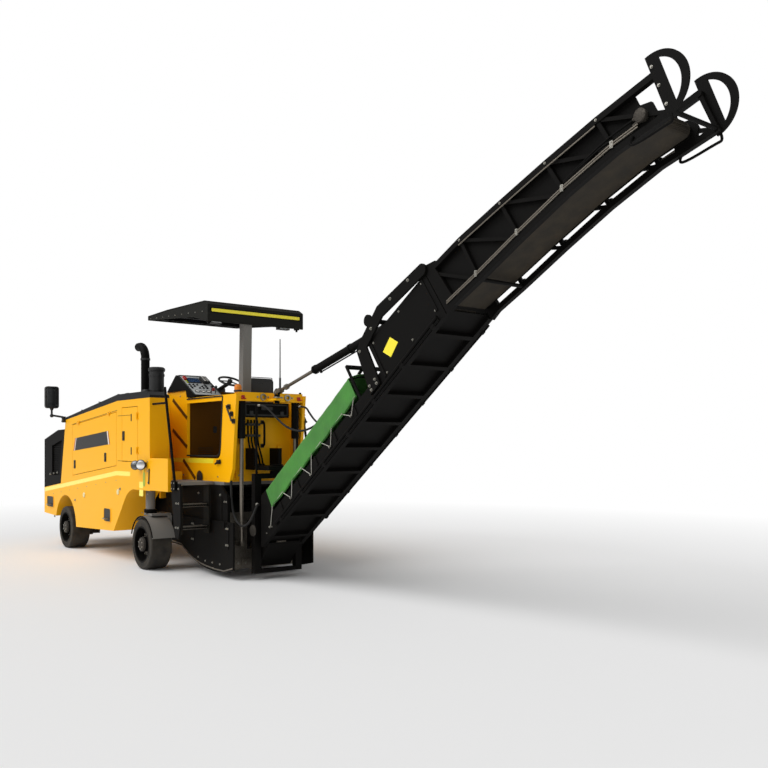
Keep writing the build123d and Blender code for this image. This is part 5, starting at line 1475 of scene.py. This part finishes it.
class PLANER_OT_fit_hood(PlanerOperator, bpy.types.Operator):
    """Fit the hood lid's seams, lifting lugs and filler caps, and the bands on stack and air cleaner"""

    bl_idname = "planer.fit_hood"
    bl_label = "Hood fittings"

    def build(self):
        seams, bands, lugs = shapes(3)
        for x, z in ((0.86, 2.347), (1.62, 2.27), (2.36, 2.175), (3.05, 2.087)):
            add_bar(seams, at(x, -1.045, z), at(x, 1.045, z), 0.008, 0.01)
        for radius, low, spot in (
            (0.062, 2.35, (1.2, 0.5)), (0.062, 2.88, (1.2, 0.5)), (0.102, 2.41, (0.79, 0.5)),
            (0.102, 2.62, (0.79, 0.5)),
        ):
            ring = [
                (0, radius - 0.002), (0, radius + 0.008), (0.03, radius + 0.008), (0.03, radius - 0.002)
            ]
            add_turned(bands, ring, upright(at(*spot, low)), 36)
            add_bolt(bands, at(spot[0] - radius - 0.008, spot[1], low + 0.015), REARWARDS, 0.009)
        cap = [(0, 0.112), (0.012, 0.118), (0.04, 0.118), (0.06, 0.09), (0.066, 0)]
        add_turned(bands, cap, upright(at(0.79, 0.5, 2.69)), 36)
        for x, y in ((0.6, -0.62), (0.2, 0.9)):
            add_turned(
                bands, [(0, 0.06), (0.02, 0.06), (0.045, 0.05), (0.05, 0)], upright(at(x, y, 2.34)), 28
            )

        def fit(side):
            for x, z in ((1.0, 2.33), (2.8, 2.115)):
                foot = at(x, side * 0.85, z)
                add_block(lugs, foot - Vector((0.05, 0.01, 0.01)), foot + Vector((0.05, 0.01, 0.05)))
                add_rod(
                    lugs, foot + Vector((0, -0.03, 0.035)), foot + Vector((0, 0.03, 0.035)), 0.01,
                    segments=16,
                )
            for number in range(7):
                x = 0.95 + number * 0.34
                add_bolt(lugs, at(x, side * 1.0, 2.337 - max(0, x - 0.86) * 0.1185), UPWARDS, 0.01)

        both(fit)
        finish_all(
            "chassis",
            (seams, "hood_lid_seams", "hose", 0),
            (bands, "stack_bands_and_caps", "plastic", 0),
            (lugs, "hood_lugs_and_bolts", "black", 0.001),
        )


# ---- conveyor -----------------------------------------------------------------------------
COVER_ENDS = (0.79, 2.875)
COVER_SIDE = (0.235, 0.49)
COVER_CROWN = 0.08
TOP_HALF = 0.314
CLOTH_HALF = 0.302
FIRST_BOW = 0.85
FIRST_PEG = 0.63
PITCH = 0.5
PEGS = ((FIRST_PEG, 0.074), (1.223, 0.094), (1.719, 0.07), (2.2, 0.102), (2.699, 0.135))


def cloth_point(s, across):
    """Where the cover's cloth lies: s up the conveyor, across from -1, right edge, to 1, left."""
    side = math.copysign(1, across)
    drop = COVER_SIDE[1] - COVER_SIDE[0]
    run = abs(across) * (TOP_HALF + drop)
    bow = math.sin(math.pi * (s - FIRST_BOW) / PITCH) ** 2
    if run < TOP_HALF:
        share = run / TOP_HALF
        y, h = CLOTH_HALF * share, COVER_SIDE[1] + (COVER_CROWN - 0.014 * bow) * (1 - share**2)
    else:
        fall = (run - TOP_HALF) / drop
        y, h = CLOTH_HALF - 0.006 * bow * math.sin(math.pi * fall), COVER_SIDE[1] - fall * drop
        # the hem is drawn down at the lacing and rides up between
        h += 0.012 * fall**3 * math.sin(math.pi * (s - FIRST_PEG) / PITCH) ** 2
    h += 0.003 * math.sin(21 * s + 6 * across) * math.sin(9 * s - 4 * across)
    return on_slope(s, h, side * y)


class PLANER_OT_lace_cover(PlanerOperator, bpy.types.Operator):
    """Stretch the green tarpaulin over its bows and lace its edges to the conveyor's pegs"""

    bl_idname = "planer.lace_cover"
    bl_label = "Belt cover"

    def build(self):
        bm = bmesh.new()
        bmesh.ops.create_grid(bm, x_segments=90, y_segments=60, size=0.5)
        start, end = COVER_ENDS
        for vert in bm.verts:
            vert.co = cloth_point(start + (vert.co.x + 0.5) * (end - start), 2 * vert.co.y)
        cover = finish_piece(bm, "cover_cloth", "lower_conveyor", "cloth", edge=0, sharp=180)
        thick = cover.modifiers.new("cloth thickness", "SOLIDIFY")
        thick.thickness = 0.002
        thick.offset = 0
        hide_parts("belt_cover")
        trims = [self.hem(), self.bows(), *self.lacing()]

    def hem(self):
        """Doubled edges of the cloth."""
        hems = bmesh.new()
        start, end = COVER_ENDS
        steps = [start + (end - start) * number / 60 for number in range(61)]
        for across in (-0.985, 0.985):
            edge = [cloth_point(s, across) for s in steps]
            add_run(add_bar, hems, edge, 0.026, 0.006, SIDEWAYS.cross(SLOPE_UP))
        turns = [-1 + number / 20 for number in range(41)]
        for s in (start + 0.012, end - 0.012):
            edge = [cloth_point(s, across) for across in turns]
            add_run(add_bar, hems, edge, 0.006, 0.024, SLOPE_UP)
        return finish_piece(hems, "cover_hem", "lower_conveyor", "cloth", edge=0)

    def bows(self):
        """Bent bars under the cloth, from one side sheet to the other."""
        bars = bmesh.new()
        turns = [-0.99 + number * 1.98 / 30 for number in range(31)]
        inward = 0.012
        for s in (0.85, 1.35, 1.85, 2.35, 2.84):
            bow = []
            for across in turns:
                lean = Vector((0, -math.copysign(inward, across) if abs(across) > 0.5 else 0, 0))
                under = SLOPE_OUT * (inward if abs(across) < 0.56 else 0)
                bow.append(cloth_point(s, across) + lean - under)
            add_run(add_rod, bars, bow, 0.007, segments=8)
        return finish_piece(bars, "cover_bows", "lower_conveyor", "black", edge=0)

    def lacing(self):
        """Rope from eyelet to peg along both edges, with the pegs' hooks."""
        rope, rings, hooks = shapes(3)

        def lace(side):
            y = side * 0.308
            line = [on_slope(PEGS[0][0], PEGS[0][1], y), on_slope(0.815, 0.255, y)]
            for s, h in PEGS[1:]:
                line += [on_slope(s - 0.13, 0.257, y), on_slope(s, h, y), on_slope(s + 0.13, 0.257, y)]
            line.append(on_slope(2.85, 0.257, y))
            add_run(add_rod, rope, line, 0.004, segments=8)
            for spot in line:
                if (spot - on_slope(0, 0.2, y)).dot(SLOPE_OUT) > 0:
                    ring = [(-0.002, 0.008), (-0.002, 0.014), (0.002, 0.014), (0.002, 0.008)]
                    add_turned(rings, ring, frame_at(spot - Vector((0, side * 0.003, 0)), (0, side, 0)), 16)
            for s, h in PEGS:
                add_rod(
                    hooks, on_slope(s, h, side * 0.298), on_slope(s, h, side * 0.32), 0.007, segments=12
                )
                add_bolt(hooks, on_slope(s, h, side * 0.32), (0, side, 0), 0.011)

        both(lace)
        return [
            finish_piece(rope, "cover_lacing", "lower_conveyor", "cord", edge=0),
            finish_piece(rings, "cover_eyelets", "lower_conveyor", "zinc", edge=0),
            finish_piece(hooks, "cover_pegs", "lower_conveyor", "zinc", edge=0),
        ]


class PLANER_OT_fit_lower_conveyor(PlanerOperator, bpy.types.Operator):
    """Fit the lower conveyor's pipes, stiffeners, bolts, reflectors and pivot covers"""

    bl_idname = "planer.fit_lower_conveyor"
    bl_label = "Lower conveyor fittings"

    def build(self):
        pipes, ribs, bolts, reflectors, guards = shapes(5)

        def fit(side):
            y = side * 0.322
            add_rod(pipes, on_slope(0.75, 0.04, y), on_slope(4.3, 0.04, y), 0.016, segments=16)
            add_rod(pipes, on_slope(0.9, 0.006, y), on_slope(4.3, 0.006, y), 0.009, segments=12)
            for number in range(7):
                s = 0.9 + number * 0.55
                add_patch(
                    ribs, on_slope(s, 0.03, side * CONVEYOR_FLANK), (0, side, 0),
                    0.05, 0.075, 0.03, 0.008, SLOPE_OUT,
                )
            for number in range(6):
                s = 0.98 + number * 0.45
                add_bar(
                    ribs, on_slope(s, 0.082, side * 0.305), on_slope(s, 0.2, side * 0.305), 0.03, 0.012,
                    SIDEWAYS,
                )
            for number in range(27):
                add_bolt(
                    bolts, on_slope(0.5 + number * 0.145, 0.067, side * CONVEYOR_FLANK), (0, side, 0), 0.007
                )
            for s, h in (
                (3.145, 0.12), (3.145, 0.17), (3.25, 0.12), (3.25, 0.17), (3.22, 0.56), (3.5, 0.62),
                (3.9, 0.645), (4.2, 0.60),
            ):
                add_bolt(bolts, on_slope(s, h, side * 0.328), (0, side, 0), 0.013)
            places = (3.484, 0.326), (3.552, 0.203), (3.72, 0.249), (3.655, 0.371)
            corners = [on_slope(s, h, side * CONVEYOR_FLANK) for s, h in places]
            add_plate(reflectors, corners, Vector((0, side * 0.002, 0)))
            add_bolts(
                bolts,
                [
                    on_slope(s, h, side * CONVEYOR_FLANK)
                    for s, h in (
                        (3.42, 0.12), (3.9, 0.12), (4.3, 0.12), (3.42, 0.5), (3.9, 0.48), (4.3, 0.46)
                    )
                ],
                (0, side, 0), 0.009,
            )
            for low, high in (((3.38, 0.1), (3.38, 0.53)), ((4.32, 0.1), (4.32, 0.48))):
                add_bar(
                    ribs, on_slope(*low, side * 0.304), on_slope(*high, side * 0.304), 0.03, 0.01, SIDEWAYS
                )
            # cover of the conveyor's pivot
            hub = frame_at(at(-1.70, side * 0.332, 0.60), (0, side, 0))
            add_turned(
                guards, [(0.003, 0.03), (0.003, 0.07), (0.016, 0.066), (0.02, 0.03), (0.02, 0)], hub, 28
            )

        both(fit)
        finish_all(
            "lower_conveyor",
            (pipes, "conveyor_rail_pipes", "black", 0),
            (ribs, "conveyor_stiffeners", "black", 0.001),
            (bolts, "conveyor_bolts", "zinc", 0),
            (reflectors, "fold_plate_reflectors", "tape", 0),
        )
        finish_piece(guards, "pivot_covers", "slew_frame", "cast", edge=0)


class PLANER_OT_fit_upper_conveyor(PlanerOperator, bpy.types.Operator):
    """Fit the upper conveyor's pipes, motor, clamps, grab loops and belt cleats"""

    bl_idname = "planer.fit_upper_conveyor"
    bl_label = "Upper conveyor fittings"

    def build(self):
        low = [(-5.165, 2.870), (-5.56, 3.075), (-6.04, 3.34), (-6.52, 3.59), (-6.99, 3.80), (-7.2, 3.87)]
        high = [(-5.32, 3.455), (-5.82, 3.672), (-6.32, 3.88), (-6.82, 4.075)]
        pipes, clamps, motor = shapes(3)

        def fit(side):
            for line, lift in ((low, 0.045), (low, 0.065), (high, -0.045)):
                pipe = [at(x, side * 0.306, z + lift) for x, z in line]
                add_run(add_rod, pipes, pipe, 0.0065, segments=10)
            for x, z in low[1:5]:
                add_patch(
                    clamps, at(x + 0.02, side * CONVEYOR_FLANK, z + 0.05), (0, side, 0),
                    0.03, 0.055, 0.012, 0.006,
                )
                for gap in (-0.018, 0.018):
                    add_bolt(clamps, at(x + 0.02, side * 0.312, z + 0.05 + gap), (0, side, 0), 0.005)
            for x, z in high:
                add_bolt(clamps, at(x, side * CONVEYOR_FLANK, z), (0, side, 0), 0.009)
            # chute bolts on the head guard
            for gap in (-0.16, 0, 0.16):
                spot = at(-7.38 + gap * 0.375, side * 0.316, 4.15 + gap * 0.927)
                add_bolt(clamps, spot, (0, side, 0), 0.01)

        both(fit)
        axle = frame_at(on_roller(0.255), SIDEWAYS)
        body = [
            (0, 0), (0, 0.055), (0.02, 0.055), (0.022, 0.043), (0.05, 0.043), (0.053, 0.05), (0.075, 0.05),
            (0.082, 0.03), (0.082, 0),
        ]
        add_turned(motor, body, axle, 32)
        for number in range(6):
            angle = math.tau * number / 6
            add_bolt(
                motor, on_roller(0.33, 0.04 * math.cos(angle), 0.04 * math.sin(angle)), SIDEWAYS, 0.006
            )
        for lift in (-0.02, 0.025):
            add_rod(motor, on_roller(0.29, z=lift), on_roller(0.29, 0.08, lift - 0.03), 0.014, segments=14)
        finish_all(
            "upper_conveyor",
            (pipes, "truss_pipes", "worn", 0),
            (clamps, "truss_clamps_and_bolts", "zinc", 0.0008),
            (motor, "belt_motor", "cast", 0),
        )
        for number, lift in enumerate((0.0, 0.045)):
            points = [
                at(-7.15, 0.29, 3.935 + lift), at(-7.03, 0.29, 3.90 + lift),
                at(-6.87, 0.297, 3.86 + lift / 2),
            ]
            points += [at(-6.7, 0.306, 3.77 + lift / 3), at(-6.52, 0.306, 3.675 + lift / 4)]
            make_pipe(f"motor_pipe_{number}", points, 0.008, "upper_conveyor", "black")
        for side, word in ((1, "left"), (-1, "right")):
            loop = (-7.16, 3.86), (-7.12, 3.80), (-7.19, 3.79), (-7.44, 3.86), (-7.50, 3.87), (-7.47, 3.935)
            name = f"{word}_grab_loop"
            make_pipe(name, in_plane(side * 0.31, loop), 0.011, "upper_conveyor", "black")
        self.cleats()

    def cleats(self):
        """Ribs moulded across the belts' visible runs."""
        ribs, lower = shapes(2)
        for number in range(8):
            spot = 4.0 - number * 0.09
            add_bar(
                lower, on_slope(spot, 0.182, -0.17), on_slope(spot, 0.182, 0.17), 0.006, 0.012, SLOPE_UP
            )
        head = on_roller(0)
        for degrees in range(-40, 200, 24):
            angle = math.radians(degrees)
            out = Vector((-math.cos(angle), 0, math.sin(angle)))
            spot = head + out * 0.063
            if out.x < 0.4:
                add_bar(ribs, spot - SIDEWAYS * 0.17, spot + SIDEWAYS * 0.17, 0.008, 0.01, out)
        finish_piece(ribs, "head_belt_cleats", "upper_conveyor", "belt", edge=0)
        finish_piece(lower, "lower_belt_cleats", "lower_conveyor", "belt", edge=0)


# ---- hoses and stay -----------------------------------------------------------------------
class PLANER_OT_hang_hoses(PlanerOperator, bpy.types.Operator):
    """Hang the hoses between the slewing frame and the conveyor, and their ferrules"""

    bl_idname = "planer.hang_hoses"
    bl_label = "Hoses"

    def build(self):
        ferrules, far_ferrules = shapes(2)
        for side, rise, length, name in ((1, 0.0, 2.066, "left_hose"), (-1, 0.075, 1.991, "right_hose")):
            route = [
                (-1.745, 0.290, 2.120),
                (-1.900, 0.290, 2.120),
                (-2.050, 0.250, 1.990 + rise / 2),
                (-2.260, 0.205, 1.840 + rise),
                (-2.500, 0.160, 1.790 + rise),
                (-2.740, 0.125, 1.850 + rise),
                (-2.960, 0.105, 1.985 + rise / 2),
                (-3.200, 0.092, 2.150 + rise / 4),
            ]
            points = [at(x, side * y, z) for x, y, z in route]
            points += [on_slope(2.64, 0.612, side * 0.08), on_slope(2.83, 0.612, side * 0.08)]
            hose = self.hang(name + "_line", points, 0.012, length, ("slew_frame", "lower_conveyor"))
            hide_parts(name)
            self.ferrule(ferrules, points[0], points[1], 0.016)
            self.ferrule(far_ferrules, points[-1], points[-2], 0.016)
        # service loop from the station's left wall to the portal's left upright
        loop = [
            (-1.410, 0.480, 1.200),
            (-1.412, 0.481, 1.100),
            (-1.425, 0.482, 0.960),
            (-1.465, 0.482, 0.820),
            (-1.545, 0.480, 0.710),
            (-1.660, 0.476, 0.655),
            (-1.770, 0.465, 0.675),
            (-1.840, 0.445, 0.745),
            (-1.866, 0.418, 0.825),
            (-1.858, 0.385, 0.885),
            (-1.825, 0.350, 0.912),
            (-1.785, 0.320, 0.918),
            (-1.740, 0.305, 0.918),
        ]
        points = [at(*place) for place in loop]
        self.hang("service_hose", points, 0.015, 1.16, ("chassis", "slew_frame"))
        self.ferrule(ferrules, points[-1], points[-2], 0.021)
        finish_piece(ferrules, "mast_hose_ferrules", "slew_frame", "zinc", edge=0)
        finish_piece(far_ferrules, "hoop_hose_ferrules", "lower_conveyor", "zinc", edge=0)

    def hang(self, name, points, radius, length, bodies):
        """A free hose along the points, across the joint of two bodies."""
        rod = make_pipe(name + "_guide", points, 0, bodies[0], "hose")
        path = [vert.co.copy() for vert in bpy.data.meshes.new_from_object(rod).vertices]
        rod.data.bevel_depth = radius
        tube = bpy.data.meshes.new_from_object(rod)
        tube.name = name
        bpy.data.objects.remove(rod)
        hose = new_object(name, tube)
        tube.shade_smooth()
        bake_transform(hose)
        return hose

    def ferrule(self, bm, end, inside, radius):
        """Crimped sleeve on the end of a hose."""
        run = (inside - end).normalized()
        profile = [
            (0, 0.012), (0, radius), (0.012, radius), (0.014, radius - 0.002), (0.045, radius - 0.001),
            (0.05, 0.012),
        ]
        up = UPWARDS if abs(run.z) < 0.9 else SIDEWAYS
        add_turned(bm, profile, frame_at(end, run, up), 20)


class PLANER_OT_pipe_station(PlanerOperator, bpy.types.Operator):
    """Pipe the station's rear wall and fit its grab handle"""

    bl_idname = "planer.pipe_station"
    bl_label = "Station pipes"

    def build(self):
        sizes = bpy.context.scene.planer_sizes
        radius = sizes.pipe_radius
        wall = REAR_WALL - radius
        for number in range(4):
            y = 0.17 - number * 0.045
            points = [
                at(wall, y, 1.96), at(wall, y, 1.72), at(wall - 0.03, y - 0.01, 1.60),
                at(wall - 0.03, y - 0.05, 1.48),
            ]
            points += [at(wall, y - 0.08, 1.40), at(wall, y - 0.09, 1.385)]
            make_pipe(f"wall_pipe_{number}", points, radius, "chassis", "black")
        grab = (
            (REAR_WALL, 1.93), (-1.31, 1.93), (-1.32, 1.90),
            (-1.32, 1.66), (-1.31, 1.63), (REAR_WALL, 1.63),
        )
        make_pipe("wall_grab_handle", in_plane(-0.04, grab), 0.014, "chassis", "black")
        conduit = in_plane(0.275, ((-1.29, 1.98), (-1.29, 1.80), (-1.29, 1.65)))
        make_pipe("wall_conduit", conduit, 0.026, "chassis", "plastic")
        clamps = bmesh.new()
        for z in (1.90, 1.76):
            add_patch(clamps, at(REAR_WALL, 0.1, z), REARWARDS, 0.2, 0.03, 0.03, 0.006)
            for y in (0.015, 0.185):
                add_bolt(clamps, at(-1.292, y, z), REARWARDS, 0.008)
        for y in (0.08, 0.035, -0.01, -0.055):
            add_turned(
                clamps, [(0, 0.022), (0.014, 0.022), (0.02, 0.016), (0.02, 0)],
                frame_at(at(-1.26, y, 1.385), REARWARDS), 16,
            )
        for z in (1.93, 1.63):
            add_patch(clamps, at(-1.261, -0.04, z), REARWARDS, 0.05, 0.05, 0.008, 0.01)
        finish_piece(clamps, "wall_pipe_clamps", "chassis", "cast", edge=0.001)


class PLANER_OT_fit_stay(PlanerOperator, bpy.types.Operator):
    """Fit the stay's end caps, clamp and pins"""

    bl_idname = "planer.fit_stay"
    bl_label = "Stay fittings"

    def build(self):
        anchor, head = at(-1.7, 0, 2.29), at(-4.0, 0, 2.89)
        run = (head - anchor).normalized()
        length = (head - anchor).length
        start = anchor + run * (length - STAY_BARREL)
        barrel, rod, swivel = shapes(3)
        for place in (start, start + run * 0.72, start + run * 1.36):
            band = [(0, 0.044), (0, 0.052), (0.035, 0.052), (0.035, 0.044)]
            add_turned(barrel, band, frame_at(place, run), 36)
        add_turned(
            barrel, [(-0.02, 0.021), (-0.02, 0.04), (0, 0.047), (0.004, 0.047), (0.004, 0.021)],
            frame_at(start, run), 36,
        )
        up = run.cross(SIDEWAYS)
        for spot in (start + run * 0.12, start + run * 1.2):
            add_rod(barrel, spot, spot + up * 0.075, 0.014, segments=16)
            add_bolt(barrel, spot + up * 0.062, up, 0.014)
        places = (0.12, 0.065), (0.2, 0.066), (1.1, 0.066), (1.2, 0.065)
        pipe = [start + run * along + up * lift for along, lift in places]
        make_pipe("stay_barrel_pipe", pipe, 0.008, "stay_barrel", "black")
        finish_piece(barrel, "stay_barrel_bands", "stay_barrel", "black", edge=0)
        clamp = frame_at(anchor + run * 0.2, run)
        add_turned(rod, [(0, 0.02), (0, 0.034), (0.06, 0.034), (0.06, 0.02)], clamp, 6)
        for side in (1, -1):
            add_bolt(rod, anchor + Vector((0, side * 0.032, 0)), (0, side, 0), 0.014)
        finish_piece(rod, "stay_rod_nut_and_pins", "stay_rod", "zinc", edge=0)
        collar = [(0, 0.046), (0.004, 0.05), (0.012, 0.05), (0.016, 0.046)]
        add_turned(swivel, collar, upright(at(-1.7, 0, 2.219)), 32)
        finish_piece(swivel, "stay_swivel_collar", "stay_swivel", "zinc", edge=0)


# ---- stage and panel ----------------------------------------------------------------------
WHITE = (1, 1, 1, 1)


class PLANER_OT_set_stage(PlanerOperator, bpy.types.Operator):
    """Lay the pale floor, light the machine softly and set the camera"""

    bl_idname = "planer.set_stage"
    bl_label = "Stage"

    def build(self):
        sizes = bpy.context.scene.planer_sizes
        self.lay_floor()
        self.light()
        self.set_camera(sizes.lens)

    def lay_floor(self):
        """A pale floor that runs out to white far from the machine."""
        bm = bmesh.new()
        bmesh.ops.create_circle(bm, cap_ends=True, segments=96, radius=400)
        mesh = bpy.data.meshes.new("floor")
        bm.to_mesh(mesh)
        bm.free()
        floor = new_object("floor", mesh)
        ground = Coat(
            "pale seamless floor", base_color=srgb("F2F2F2"), roughness=0.75, specular_ior_level=0.1
        )
        oval = ground.add("Mapping", {"Vector": ground.place, "Scale": (0.062, 0.075, 1)}).outputs[0]
        reach = ground.add("VectorMath", {0: oval}, operation="LENGTH").outputs["Value"]
        fade = ground.spread(reach, 0.42, 1.0, 0.0, 1.0)
        links = {0: fade, 1: seen_by(ground.material, "Glossy")}
        share = ground.add("Math", links, operation="MULTIPLY").outputs[0]
        white = ground.add("Emission", {"Color": WHITE, "Strength": 1.0}).outputs[0]
        mixed = ground.add("MixShader", {0: share, 1: ground.shader.outputs[0], 2: white}).outputs[0]
        tree = ground.material.node_tree
        tree.links.new(mixed, tree.nodes["Material Output"].inputs["Surface"])
        mesh.materials.append(ground.material)

    def light(self):
        """A soft high sun and an even white surround, which the camera sees as pure white."""
        scene = bpy.context.scene
        world = bpy.data.worlds.new("studio")
        world.use_nodes = True
        scene.world = world
        tree = world.node_tree
        dim = tree.nodes["Background"]
        dim.inputs["Color"].default_value = WHITE
        dim.inputs["Strength"].default_value = 0.38
        full = add(world, "Background", {"Color": WHITE, "Strength": 1.0}).outputs[0]
        links = {0: seen_by(world, "Transmission"), 1: dim.outputs[0], 2: full}
        mixed = add(world, "MixShader", links).outputs[0]
        tree.links.new(mixed, tree.nodes["World Output"].inputs["Surface"])
        for name, aim, strength, spread in (
            ("key", (-0.25, -0.75, -0.85), 2.2, 55),
            ("fill", (0.8, -0.4, -0.35), 0.2, 60),
        ):
            sun = bpy.data.lights.new(name, "SUN")
            sun.energy = strength
            sun.angle = math.radians(spread)
            lamp = new_object(name, sun)
            lamp.rotation_euler = Vector(aim).to_track_quat("-Z", "Y").to_euler()
        scene.view_settings.view_transform = "Standard"

    def set_camera(self, lens):
        """A level camera behind the machine's left rear corner."""
        camera = bpy.data.cameras.new("camera")
        camera.lens = lens
        camera.sensor_width = 36
        camera.shift_y = 0.0794
        camera.clip_end = 500
        viewer = new_object("camera", camera)
        viewer.location = at(-10.97, 5.54, 1.64)
        viewer.rotation_euler = (math.radians(90), 0, math.radians(-37.9 - 90))
        bpy.context.scene.camera = viewer


class PLANER_PT_looks(bpy.types.Panel):
    """Buttons for the machine's looks"""

    bl_label = "Cold Planer"
    bl_space_type = "VIEW_3D"
    bl_region_type = "UI"
    bl_category = "Cold Planer"

    def draw(self, context):
        """Lists the settings and the operators."""
        column = self.layout.column()
        for group in (context.scene.planer_colours, context.scene.planer_sizes):
            for name in group.bl_rna.properties.keys():
                if name not in ("rna_type", "name"):
                    column.prop(group, name)
        for operator in OPERATORS:
            column.operator(operator.bl_idname)


OPERATORS = [
    PLANER_OT_finish_frame,
    PLANER_OT_add_tape,
    PLANER_OT_fit_doors,
    PLANER_OT_fit_flanks,
    PLANER_OT_fit_lamps,
    PLANER_OT_fit_grilles,
    PLANER_OT_fit_wheels,
    PLANER_OT_fit_ladders,
    PLANER_OT_fit_housing,
    PLANER_OT_fit_station,
    PLANER_OT_fit_console,
    PLANER_OT_sew_seat,
    PLANER_OT_fit_canopy,
    PLANER_OT_fit_mirrors,
    PLANER_OT_fit_hood,
    PLANER_OT_lace_cover,
    PLANER_OT_fit_lower_conveyor,
    PLANER_OT_fit_upper_conveyor,
    PLANER_OT_hang_hoses,
    PLANER_OT_pipe_station,
    PLANER_OT_fit_stay,
    PLANER_OT_set_stage,
]
CLASSES = [PlanerColours, PlanerSizes, *OPERATORS, PLANER_PT_looks]


def register():
    """Adds the classes and the scene's settings."""
    for item in CLASSES:
        bpy.utils.register_class(item)
    bpy.types.Scene.planer_colours = bpy.props.PointerProperty(type=PlanerColours)
    bpy.types.Scene.planer_sizes = bpy.props.PointerProperty(type=PlanerSizes)


def unregister():
    """Removes the classes and the scene's settings."""
    del bpy.types.Scene.planer_sizes
    del bpy.types.Scene.planer_colours
    for item in reversed(CLASSES):
        bpy.utils.unregister_class(item)


def main():
    """Builds everything in order."""
    register()
    for operator in OPERATORS:
        group, name = operator.bl_idname.split(".")
        getattr(getattr(bpy.ops, group), name)()


if __name__ == "__main__":
    main()
